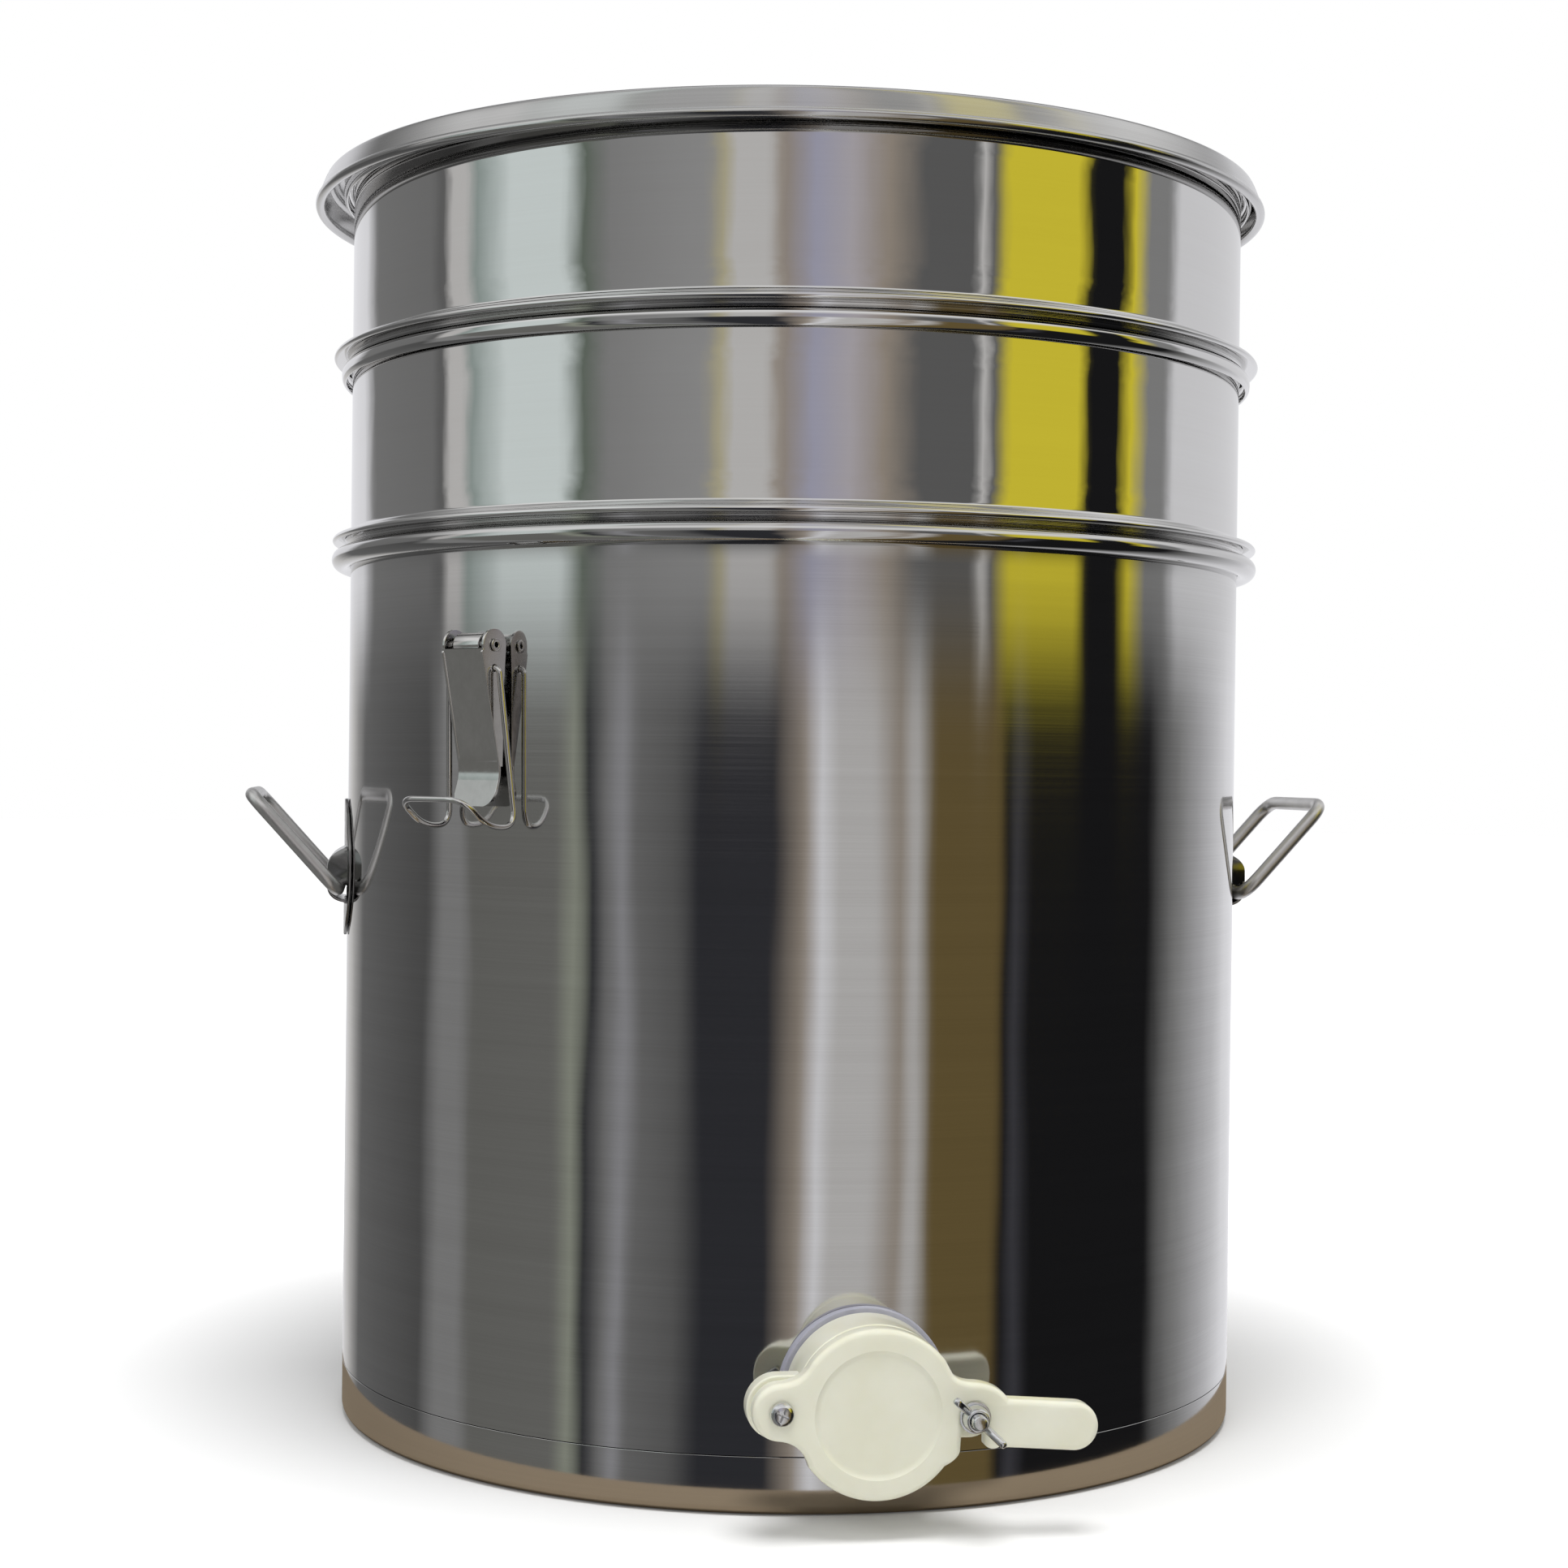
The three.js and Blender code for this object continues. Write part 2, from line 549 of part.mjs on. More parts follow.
function gateBody() {
  const barrel = outwardRound(GATE_BARREL_R, GATE_BORE_R, GATE_BACK, GATE_FACE, 0, GATE_Z, 32);
  const spigot = outwardRound(GATE_SPIGOT_R, GATE_BORE_R, 184, GATE_BACK + 1, 0, GATE_Z, 32);
  const lug = (place, radius) => {
    const shape = new THREE.Shape();
    const inward = -Math.sign(place.x) * 14;
    shape.moveTo(place.x, place.z + radius);
    shape.absarc(place.x, place.z, radius, rad(90), rad(-90), place.x > 0);
    shape.lineTo(place.x + inward, place.z - radius);
    shape.lineTo(place.x + inward, place.z + radius);
    return outwardPlate(shape, LUG_BACK, GATE_FACE, 0, GATE_Z, 16);
  };
  const drill = (place, radius) => outwardRound(radius, 0, 200, 240, place.x, GATE_Z + place.z, 16);
  const bore = outwardRound(GATE_BORE_R, 0, 180, 230, 0, GATE_Z, 32);
  const body = union(barrel, spigot, lug(HINGE, 12), lug(CLAMP, 10));
  return cut(body, bore, drill(HINGE, 2.7), drill(CLAMP, 3.2));
}

function outerGasket() {
  const ring = outwardRound(32.7, GATE_SPIGOT_R + GAP, TANK_R - 6, GATE_BACK - GAP, 0, GATE_Z, 36);
  return cut(toManifold(ring), drumAt(TANK_R + GAP));
}

function innerGasket() {
  const ring = outwardRound(32, GATE_SPIGOT_R + GAP, 193.8, 200, 0, GATE_Z, 36);
  return fromManifold(toManifold(ring).intersect(toManifold(drumAt(TANK_R - SHEET - GAP))));
}

function lockNut() {
  const shape = new THREE.Shape();
  const corners = 12;
  for (let i = 0; i <= corners; i += 1) {
    const angle = 2 * Math.PI * i / corners;
    const move = i === 0 ? 'moveTo' : 'lineTo';
    shape[move](33 * Math.cos(angle), 33 * Math.sin(angle));
  }
  shape.holes.push(new THREE.Path().absarc(0, 0, GATE_SPIGOT_R + GAP, 0, 2 * Math.PI, true));
  return outwardPlate(shape, 185.5, 193.5, 0, GATE_Z, 36);
}

// The swinging cover: a disc with a hinge lug, and a slotted lug that runs out into the drooping handle.
function coverOutline() {
  const shape = new THREE.Shape();
  const lugR = 10.8;
  const clampLugR = 12.6;
  const slotR = 4.2;
  const handleR = 9.1;
  const droop = rad(COVER_DROOP);
  const handleAt = (reach, side) => point(
    CLAMP.x + reach * Math.cos(droop) + side * Math.sin(droop),
    CLAMP.z - 2 - reach * Math.sin(droop) + side * Math.cos(droop));
  const end = handleAt(38.8, 0);
  const top = handleAt(12.6, handleR);
  const bottom = handleAt(10.5, -handleR);
  shape.absarc(0, -COVER_DROP, GATE_DISC_R, rad(38), rad(142), false);
  shape.quadraticCurveTo(HINGE.x + 7.5, HINGE.z + lugR, HINGE.x - 1.5, HINGE.z + lugR);
  shape.absarc(HINGE.x, HINGE.z, lugR, rad(98), rad(262), false);
  shape.quadraticCurveTo(HINGE.x + 8, HINGE.z - lugR - 0.5, -25.9, -20.1);
  shape.absarc(0, -COVER_DROP, GATE_DISC_R, rad(217), rad(322), false);
  shape.quadraticCurveTo(30.6, -18.4, CLAMP.x - slotR - 0.8, -15.2);
  shape.lineTo(CLAMP.x - slotR, CLAMP.z);
  shape.absarc(CLAMP.x, CLAMP.z, slotR, Math.PI, 0, true);
  shape.lineTo(CLAMP.x + slotR, -13.2);
  shape.quadraticCurveTo(CLAMP.x + slotR + 2.4, -16, bottom.x, bottom.y);
  shape.absarc(end.x, end.y, handleR, -Math.PI / 2 - droop, Math.PI / 2 - droop, false);
  shape.lineTo(top.x, top.y);
  shape.quadraticCurveTo(CLAMP.x + 9.5, CLAMP.z + clampLugR - 1, CLAMP.x + 1, CLAMP.z + clampLugR);
  shape.quadraticCurveTo(CLAMP.x - 5.5, CLAMP.z + clampLugR + 0.1, CLAMP.x - 8.2, CLAMP.z + clampLugR + 3.4);
  return shape;
}

function gateCover() {
  const plate = outwardPlate(coverOutline(), COVER_BACK, COVER_FRONT, 0, GATE_Z, 24);
  const recess = outwardRound(24, 0, COVER_FRONT - 0.8, COVER_FRONT + 5, 0, GATE_Z - COVER_DROP, 32);
  const hingeHole = outwardRound(2.75, 0, 200, 260, HINGE.x, GATE_Z + HINGE.z, 16);
  return cut(toManifold(plate), recess, hingeHole);
}

// A turned fastener along -Y: outline points are (radius, distance from the tank's axis).
function fastener(outline, place, segments = 16) {
  return turned(outline, segments).rotateX(Math.PI / 2).translate(place.x, 0, GATE_Z + place.z);
}

function hexNut(acrossCorners, hole, from, to, place) {
  const shape = new THREE.Shape();
  for (let i = 0; i <= 6; i += 1) {
    const angle = Math.PI / 3 * (i + 0.5);
    const move = i === 0 ? 'moveTo' : 'lineTo';
    shape[move](acrossCorners * Math.cos(angle), acrossCorners * Math.sin(angle));
  }
  if (hole > 0) shape.holes.push(new THREE.Path().absarc(0, 0, hole, 0, 2 * Math.PI, true));
  return outwardPlate(shape, from, to, place.x, GATE_Z + place.z, 16);
}

function hingeScrew() {
  const seat = COVER_FRONT + GAP;
  return fastener([
    point(0, 212.6),
    point(2.4, 212.6),
    point(2.4, seat),
    point(4.65, seat),
    point(4.5, seat + 1.5),
    point(3.2, seat + 2.7),
    point(0, seat + 3.1),
  ], HINGE);
}

function clampBolt() {
  const shank = fastener([
    point(0, 213.6),
    point(2.9, 213.6),
    point(2.9, 246.2),
    point(2.3, 246.8),
    point(0, 246.8),
  ], CLAMP);
  const head = hexNut(5.6, 0, 213.6, LUG_BACK - GAP, CLAMP);
  return fromManifold(union(shank, head));
}

const WASHER_BACK = COVER_FRONT + GAP;
const WASHER_FRONT = WASHER_BACK + 1.2;
const WING_BACK = WASHER_FRONT + GAP;
const WING_ANGLE = -43;          // the wings lie from upper left to lower right

function wingNut() {
  const hub = outwardRound(5.3, 0, WING_BACK, WING_BACK + 5.2, 0, 0, 20);
  const outline = new THREE.Shape();
  outline.moveTo(2, WING_BACK + 0.8);
  outline.quadraticCurveTo(8, WING_BACK + 1.6, 12.6, WING_BACK + 5.4);
  outline.quadraticCurveTo(14.4, WING_BACK + 8.4, 11.6, WING_BACK + 9);
  outline.quadraticCurveTo(8.4, WING_BACK + 8, 5, WING_BACK + 5);
  outline.lineTo(2, WING_BACK + 5);
  const blade = { depth: 3, bevelEnabled: false, curveSegments: 4 };
  const wing = (turn) => new THREE.ExtrudeGeometry(outline, blade)
    .translate(0, 0, -1.5)
    .applyMatrix4(new THREE.Matrix4().set(1, 0, 0, 0, 0, -1, 0, 0, 0, 0, -1, 0, 0, 0, 0, 1))
    .rotateY(turn);
  const threadHole = outwardRound(3.2, 0, WING_BACK - 5, WING_BACK + 20, 0, 0, 20);
  const nut = cut(union(hub, wing(0), wing(Math.PI)), threadHole);
  return nut.rotateY(rad(-WING_ANGLE)).translate(CLAMP.x, 0, GATE_Z + CLAMP.z);
}

addNode('gate_body', gateBody(), creamPlastic);
addNode('gate_outer_gasket', outerGasket(), greyRubber);
addNode('gate_inner_gasket', innerGasket(), greyRubber);
addNode('gate_lock_nut', lockNut(), creamPlastic);
addNode('gate_cover', gateCover(), creamPlastic);
addNode('gate_hinge_screw', hingeScrew(), zinc);
addNode('gate_hinge_nut', hexNut(4.6, 2.7, 213.8, LUG_BACK - GAP, HINGE), zinc);
addNode('gate_clamp_bolt', clampBolt(), zinc);
const clampWasher = outwardRound(6, 3.2, WASHER_BACK, WASHER_FRONT, CLAMP.x, GATE_Z + CLAMP.z, 20);
addNode('gate_clamp_washer', clampWasher, zinc);
addNode('gate_wing_nut', wingNut(), zinc);

export default group;
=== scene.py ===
"""Honey settling tank: smooth visible pieces, materials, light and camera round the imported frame.

Lengths are millimetres until a piece is placed. Pieces on the wall are drawn as if they sat at -Y.
"""

import math

import bmesh
import bpy
import numpy as np
from mathutils import Matrix, Vector


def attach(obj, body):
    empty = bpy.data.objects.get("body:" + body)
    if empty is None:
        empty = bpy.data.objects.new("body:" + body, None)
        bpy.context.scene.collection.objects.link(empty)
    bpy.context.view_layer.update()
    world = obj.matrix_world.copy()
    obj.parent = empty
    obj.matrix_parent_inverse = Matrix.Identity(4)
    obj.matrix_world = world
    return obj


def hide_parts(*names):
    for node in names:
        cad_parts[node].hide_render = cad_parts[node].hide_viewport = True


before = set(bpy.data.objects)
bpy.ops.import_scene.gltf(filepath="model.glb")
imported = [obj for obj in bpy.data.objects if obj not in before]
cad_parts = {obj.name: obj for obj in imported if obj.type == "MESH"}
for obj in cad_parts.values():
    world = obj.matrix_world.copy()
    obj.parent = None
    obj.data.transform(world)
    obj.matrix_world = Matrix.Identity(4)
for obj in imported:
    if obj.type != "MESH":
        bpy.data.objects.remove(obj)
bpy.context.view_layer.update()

# ---- Driving dimensions ----
GAP = 0.3
TANK_R = 200.0
SHEET = 1.0
BOTTOM_FLANGE = 22.8
BEAD_R = 4.5
BEAD_CENTRE_R = TANK_R + 3.9
BEAD_TOP = 381.6
RING_SEAT = BEAD_TOP + GAP
RING_PITCH = 81.1
RIM_DROP = 7.2
RIM_R = TANK_R + 4.8
SHOULDER_R = TANK_R + 8.3
SPIGOT_R = TANK_R - 2.2
SPIGOT_DROP = 9.6
LIP_R = 186.0
LID_SEAT = RING_SEAT + 2 * RING_PITCH
LID_SHIFT_X = -3.4
LID_SHEET = 0.9
LID_HEM_R = 2.15
LID_HEM_CENTRE_R = 211.5
LID_PLATEAU_R = 185.0
LID_TOP = LID_SEAT + 3 + LID_SHEET
LID_HANDLE_HALF = 50.0
LID_HANDLE_RISE = 28.0
RIVET_R = 2.4
HANDLE_PIVOT_R = TANK_R + 3.9
HANDLE_PIVOT_Z = 232.0
HANDLE_ROD_R = 3.0
HANDLE_HALF_WIDTH = 37.0
HANDLE_REACH = 55.0
HANDLE_REST = 48.0
LATCH_PIN_R = TANK_R + 7.6
LATCH_PIN_Z = 334.0
LATCH_HALF_WIDTH = 11.3
LATCH_SHEET = 1.2
LATCH_KNUCKLE_R = 5.0
LATCH_AZIMUTH = -46
BAIL_WIRE_R = 1.2
BAIL_DROP = 9.1
GATE_Z = 48.3
GATE_BORE_R = 20.0
GATE_SPIGOT_R = 23.5
GATE_BARREL_R = 31.0
GATE_DISC_R = 32.1
GATE_BACK = TANK_R + 4.3
GATE_FACE = 226.5
COVER_BACK = GATE_FACE + GAP
COVER_FRONT = COVER_BACK + 9
COVER_EDGE = 2.2
COVER_DROP = 1.1
COVER_DROOP = 4.0
HINGE_X, HINGE_Z = -36.5, 0.6
CLAMP_X, CLAMP_Z = 36.2, -2.4
LUG_BACK = 218.5

ROUND = 256
OUTWARD = Matrix(((1, 0, 0, 0), (0, 0, -1, 0), (0, 1, 0, 0), (0, 0, 0, 1)))
SIDEWAYS = Matrix(((0, 0, -1, 0), (-1, 0, 0, 0), (0, 1, 0, 0), (0, 0, 0, 1)))


# ---- Mesh building ----
def add_object(name, vertices, faces):
    mesh = bpy.data.meshes.new(name)
    mesh.from_pydata([tuple(v) for v in vertices], [], faces)
    piece = bpy.data.objects.new(name, mesh)
    bpy.context.scene.collection.objects.link(piece)
    tidy_mesh(piece)
    return piece


def tidy_mesh(piece, weld=1e-4):
    """Welds doubled vertices and turns the faces outwards."""
    work = bmesh.new()
    work.from_mesh(piece.data)
    bmesh.ops.remove_doubles(work, verts=work.verts, dist=weld)
    bmesh.ops.dissolve_degenerate(work, edges=work.edges, dist=weld)
    bmesh.ops.recalc_face_normals(work, faces=work.faces)
    work.to_mesh(piece.data)
    work.free()


def bake(piece):
    """Applies the piece's modifiers."""
    graph = bpy.context.evaluated_depsgraph_get()
    mesh = bpy.data.meshes.new_from_object(piece.evaluated_get(graph))
    piece.modifiers.clear()
    piece.data = mesh


def combine(piece, tool, operation):
    step = piece.modifiers.new("combine", "BOOLEAN")
    step.operation = operation
    step.solver = "EXACT"
    step.object = tool
    bake(piece)
    bpy.data.objects.remove(tool)
    return piece


def cut(piece, *tools):
    for tool in tools:
        combine(piece, tool, "DIFFERENCE")
    return piece


def union(piece, *others):
    for other in others:
        combine(piece, other, "UNION")
    return piece


def rounded_edges(piece, width, angle=35, segments=3):
    step = piece.modifiers.new("edges", "BEVEL")
    step.width = width
    step.segments = segments
    step.limit_method = "ANGLE"
    step.angle_limit = math.radians(angle)
    step.use_clamp_overlap = True
    bake(piece)
    return piece


def moved(piece, matrix):
    piece.data.transform(matrix)
    return piece


def softened(outline, radius, steps=4):
    """Rounds the corners of a closed outline that turn by more than 12 degrees."""
    result = []
    count = len(outline)
    for i in range(count):
        here = np.array(outline[i], float)
        back = np.array(outline[i - 1], float) - here
        ahead = np.array(outline[(i + 1) % count], float) - here
        back_length, ahead_length = np.linalg.norm(back), np.linalg.norm(ahead)
        turn = math.degrees(math.acos(np.clip(-back @ ahead / back_length / ahead_length, -1, 1)))
        if here[0] < 1e-6 or turn < 12:
            result.append(here)
            continue
        reach = min(radius, 0.45 * back_length, 0.45 * ahead_length)
        start = here + back / back_length * reach
        end = here + ahead / ahead_length * reach
        for t in np.linspace(0, 1, steps + 1):
            result.append((1 - t) ** 2 * start + 2 * t * (1 - t) * here + t * t * end)
    return result


def turned(name, outline, segments=ROUND):
    """Turns a closed (radius, height) outline about Z."""
    angles = np.linspace(0, 2 * math.pi, segments, endpoint=False)
    vertices, rows = [], []
    for radius, height in outline:
        if radius < 1e-6:
            rows.append([len(vertices)] * segments)
            vertices.append((0, 0, height))
            continue
        rows.append(list(range(len(vertices), len(vertices) + segments)))
        vertices.extend((radius * math.cos(a), radius * math.sin(a), height) for a in angles)
    faces = []
    for i, row in enumerate(rows):
        other = rows[(i + 1) % len(rows)]
        for k in range(segments):
            n = (k + 1) % segments
            corners = list(dict.fromkeys([row[k], row[n], other[n], other[k]]))
            if len(corners) > 2:
                faces.append(corners)
    return add_object(name, vertices, faces)


def arc(centre_x, centre_y, radius, start, end, steps):
    angles = np.radians(np.linspace(start, end, steps + 1))
    return [(centre_x + radius * math.cos(a), centre_y + radius * math.sin(a)) for a in angles]


def curve_to(points, control, end, steps=12):
    """Adds a quadratic curve from the last point."""
    start, control, end = (np.array(p, float) for p in (points[-1], control, end))
    for t in np.linspace(0, 1, steps + 1)[1:]:
        points.append(tuple((1 - t) ** 2 * start + 2 * t * (1 - t) * control + t * t * end))
    return points


def plate(name, outlines, depth, edge):
    """A flat plate from z = 0 to depth with rounded edges: the rim's outline first, then its holes."""
    curve = bpy.data.curves.new(name, "CURVE")
    curve.dimensions = "2D"
    curve.fill_mode = "BOTH"
    curve.extrude = depth / 2 - edge
    curve.bevel_depth = edge
    curve.bevel_resolution = 3
    curve.offset = -edge
    for outline in outlines:
        spline = curve.splines.new("POLY")
        spline.points.add(len(outline) - 1)
        for point, (x, y) in zip(spline.points, outline):
            point.co = (x, y, 0, 1)
        spline.use_cyclic_u = True
    source = bpy.data.objects.new(name, curve)
    bpy.context.scene.collection.objects.link(source)
    graph = bpy.context.evaluated_depsgraph_get()
    mesh = bpy.data.meshes.new_from_object(source.evaluated_get(graph))
    bpy.data.objects.remove(source)
    piece = bpy.data.objects.new(name, mesh)
    bpy.context.scene.collection.objects.link(piece)
    moved(piece, Matrix.Translation((0, 0, depth / 2)))
    tidy_mesh(piece)
    return piece


def outward_plate(name, outlines, start, end, edge, x=0.0, z=0.0):
    """A plate between two distances from the tank's axis."""
    return moved(plate(name, outlines, end - start, edge), Matrix.Translation((x, -start, z)) @ OUTWARD)


def side_plate(name, outlines, x0, x1, edge):
    """A plate outlined in (distance from the tank's axis, height), between x0 and x1."""
    return moved(plate(name, outlines, x1 - x0, edge), Matrix.Translation((x1, 0, 0)) @ SIDEWAYS)


def outward_turned(name, outline, x=0.0, z=0.0, segments=96):
    """Turned about a line along -Y: outline points are (radius, distance from the tank's axis)."""
    return moved(turned(name, outline, segments), Matrix.Translation((x, 0, z)) @ OUTWARD)


def outward_drill(radius, start, end, x=0.0, z=0.0, segments=96):
    return outward_turned("drill", [(0, start), (radius, start), (radius, end), (0, end)], x, z, segments)


def bent_path(corners, bend, spacing=1.0, bend_steps=14):
    """Points along straight runs that meet in bends."""
    corners = [np.array(c, float) for c in corners]
    stations = [corners[0]]
    for i in range(1, len(corners) - 1):
        back, ahead = corners[i - 1] - corners[i], corners[i + 1] - corners[i]
        reach = min(bend, 0.49 * np.linalg.norm(back), 0.49 * np.linalg.norm(ahead))
        enter = corners[i] + back / np.linalg.norm(back) * reach
        leave = corners[i] + ahead / np.linalg.norm(ahead) * reach
        stations.append(enter)
        for t in np.linspace(0, 1, bend_steps + 1)[1:]:
            stations.append((1 - t) ** 2 * enter + 2 * t * (1 - t) * corners[i] + t * t * leave)
    stations.append(corners[-1])
    points = [stations[0]]
    for station in stations[1:]:
        run = station - points[-1]
        pieces = max(1, int(np.linalg.norm(run) / (6 * spacing)))
        start = points[-1]
        points.extend(start + run * k / pieces for k in range(1, pieces + 1))
    return np.array(points)


def tube_arrays(points, radius, sides, cap_rings=3):
    """Vertices and faces of a round bar along the points, with domed ends."""
    points = np.array(points, float)
    tangents = np.gradient(points, axis=0)
    tangents /= np.linalg.norm(tangents, axis=1)[:, None]
    seed = np.array([1.0, 0, 0]) if abs(tangents[0][0]) < 0.8 else np.array([0, 0, 1.0])
    normal = np.cross(tangents[0], seed)
    rings = []
    for point, tangent in zip(points, tangents):
        normal = normal - tangent * (normal @ tangent)
        normal /= np.linalg.norm(normal)
        rings.append((point, tangent, normal.copy(), 1.0))
    if cap_rings:
        dome = [math.radians(90 * k / cap_rings) for k in range(1, cap_rings)]
        depth = min(radius, 0.35 * radius + 0.2)
        first, last = rings[0], rings[-1]
        head = [(first[0] - first[1] * depth * (math.sin(a) - 1), *first[1:3], math.cos(a)) for a in dome]
        tail = [(last[0] + last[1] * depth * (math.sin(a) - 1), *last[1:3], math.cos(a)) for a in dome]
        rings[0] = (first[0] + first[1] * depth, *first[1:])
        rings[-1] = (last[0] - last[1] * depth, *last[1:])
        rings = head[::-1] + rings + tail
    angles = np.linspace(0, 2 * math.pi, sides, endpoint=False)
    vertices = []
    for point, tangent, across, scale in rings:
        other = np.cross(tangent, across)
        for a in angles:
            vertices.append(point + radius * scale * (math.cos(a) * across + math.sin(a) * other))
    faces = []
    for i in range(len(rings) - 1):
        for k in range(sides):
            n = (k + 1) % sides
            faces.append([i * sides + k, i * sides + n, (i + 1) * sides + n, (i + 1) * sides + k])
    faces.append(list(range(sides))[::-1])
    faces.append([(len(rings) - 1) * sides + k for k in range(sides)])
    return vertices, faces


def tube(name, points, radius, sides=24):
    return add_object(name, *tube_arrays(points, radius, sides))


def threaded_rod(name, radius, start, end, pitch=1.0, depth=0.28, sides=40, rows_per_turn=10):
    """A rod with a real screw thread between two heights and chamfered ends."""
    rows = int((end - start) / pitch * rows_per_turn)
    heights = np.linspace(start, end, rows + 1)
    vertices, faces = [], []
    for height in heights:
        chamfer = max(0.0, 0.8 - min(height - start, end - height))
        for k in range(sides):
            phase = (height / pitch - k / sides) % 1.0
            r = radius - depth * abs(2 * phase - 1) - 0.7 * chamfer
            angle = 2 * math.pi * k / sides
            vertices.append((r * math.cos(angle), r * math.sin(angle), height))
    for i in range(rows):
        for k in range(sides):
            n = (k + 1) % sides
            faces.append([i * sides + k, i * sides + n, (i + 1) * sides + n, (i + 1) * sides + k])
    faces.append(list(range(sides))[::-1])
    faces.append([rows * sides + k for k in range(sides)])
    return add_object(name, vertices, faces)


# ---- Materials ----
class Nodes:
    """Small helper round a node tree."""

    def __init__(self, tree):
        self.tree = tree

    def node(self, kind, inputs=None, **settings):
        made = self.tree.nodes.new(kind)
        for key, value in settings.items():
            setattr(made, key, value)
        for key, value in (inputs or {}).items():
            self.connect(value, made.inputs[key])
        return made

    def connect(self, value, socket):
        if isinstance(value, bpy.types.NodeSocket):
            self.tree.links.new(value, socket)
        else:
            socket.default_value = value

    def math(self, operation, a, b=0.0):
        return self.node("ShaderNodeMath", {0: a, 1: b}, operation=operation).outputs[0]

    def ramp(self, factor, stops):
        ramp = self.node("ShaderNodeValToRGB", {"Fac": factor})
        elements = ramp.color_ramp.elements
        while len(elements) < len(stops):
            elements.new(0.5)
        for element, (position, colour) in zip(elements, stops):
            element.position = position
            element.color = (*colour, 1)
        return ramp.outputs["Color"]

    def between(self, factor, low, high, source=(0.3, 0.7)):
        inputs = {"Value": factor, "To Min": low, "To Max": high}
        inputs |= {"From Min": source[0], "From Max": source[1]}
        return self.node("ShaderNodeMapRange", inputs, clamp=True).outputs["Result"]


class Shader(Nodes):
    """A material with one Principled shader."""

    def __init__(self, name):
        self.material = bpy.data.materials.new(name)
        self.material.use_nodes = True
        super().__init__(self.material.node_tree)
        self.shader = self.tree.nodes["Principled BSDF"]
        self.place = self.node("ShaderNodeTexCoord").outputs["Object"]

    def set(self, **values):
        for key, value in values.items():
            self.connect(value, self.shader.inputs[key.replace("_", " ")])
        return self

    def scaled(self, scale):
        mapping = self.node("ShaderNodeMapping", {"Vector": self.place, "Scale": scale})
        return mapping.outputs["Vector"]

    def turning_lines(self, frequency, along=5.0):
        """Coordinates that change fast across the lathe or brush lines and slowly along them."""
        split = self.node("ShaderNodeSeparateXYZ", {0: self.place})
        flat = self.node("ShaderNodeCombineXYZ", {0: split.outputs[0], 1: split.outputs[1]})
        radius = self.node("ShaderNodeVectorMath", {0: flat.outputs[0]}, operation="LENGTH").outputs["Value"]
        return self.node("ShaderNodeCombineXYZ", {
            0: self.math("MULTIPLY", radius, frequency),
            1: self.math("MULTIPLY", split.outputs[2], frequency),
            2: self.math("MULTIPLY", split.outputs[0], along),
        }).outputs[0]

    def noise(self, vector, scale=1.0, detail=4.0, roughness=0.55):
        inputs = {"Vector": vector, "Scale": scale, "Detail": detail, "Roughness": roughness}
        return self.node("ShaderNodeTexNoise", inputs).outputs["Fac"]

    def bumps(self, *layers):
        """Each layer is (height, distance in metres, strength); later layers ride on earlier ones."""
        normal = None
        for height, distance, strength in layers:
            bump = self.node("ShaderNodeBump", {"Height": height, "Distance": distance, "Strength": strength})
            if normal is not None:
                self.connect(normal, bump.inputs["Normal"])
            normal = bump.outputs["Normal"]
        self.connect(normal, self.shader.inputs["Normal"])
        return self


def grey(value, warmth=0.0):
    return (value * (1 + warmth), value, value * (1 - warmth))


def steel(name, roughness, spread, tone, lines, depth, waviness=0.0, anisotropic=0.0, grain=1.0):
    """Stainless sheet: lines all round it from brushing or polishing, faint smears and wear."""
    s = Shader(name)
    fine = s.noise(s.turning_lines(lines), detail=5.0, roughness=0.7)
    broad = s.noise(s.turning_lines(lines / 9, 3.0), detail=3.0)
    smears = s.noise(s.place, scale=9.0, detail=3.0)
    mixed = s.math("MULTIPLY", s.math("ADD", fine, broad), 0.5)
    s.set(Metallic=1.0, Anisotropic=anisotropic, Anisotropic_Rotation=0.25)
    s.set(Base_Color=s.ramp(mixed, [(0.36, grey(tone * (1 - 0.07 * grain), 0.008)),
                              (0.64, grey(tone * (1 + 0.05 * grain), 0.004))]))
    polish = s.between(fine, roughness, roughness + spread)
    s.set(Roughness=s.math("ADD", polish, s.between(smears, 0.0, spread * 0.5)))
    if anisotropic:
        s.set(Tangent=s.node("ShaderNodeTangent", direction_type="RADIAL", axis="Z").outputs[0])
    layers = [(fine, depth, 1.0)]
    if waviness:
        waves = s.noise(s.scaled((7.0, 7.0, 2.2)), detail=1.0)
        layers.insert(0, (waves, waviness, 1.0))
    return s.bumps(*layers).material


def fitting_steel(name, roughness, tone=0.6, warmth=0.01, grain=900.0, relief=0.5):
    """Small bright steel pieces: fine scratches, slight unevenness."""
    s = Shader(name)
    scratches = s.noise(s.scaled((grain, grain * 0.15, grain * 0.4)), detail=4.0, roughness=0.65)
    patches = s.noise(s.place, scale=140.0, detail=3.0)
    s.set(Metallic=1.0)
    s.set(Base_Color=s.ramp(patches, [(0.35, grey(tone * 0.97, warmth)), (0.65, grey(tone * 1.03, warmth))]))
    s.set(Roughness=s.between(scratches, roughness, roughness + 0.09))
    return s.bumps((scratches, 1.5e-6, relief)).material


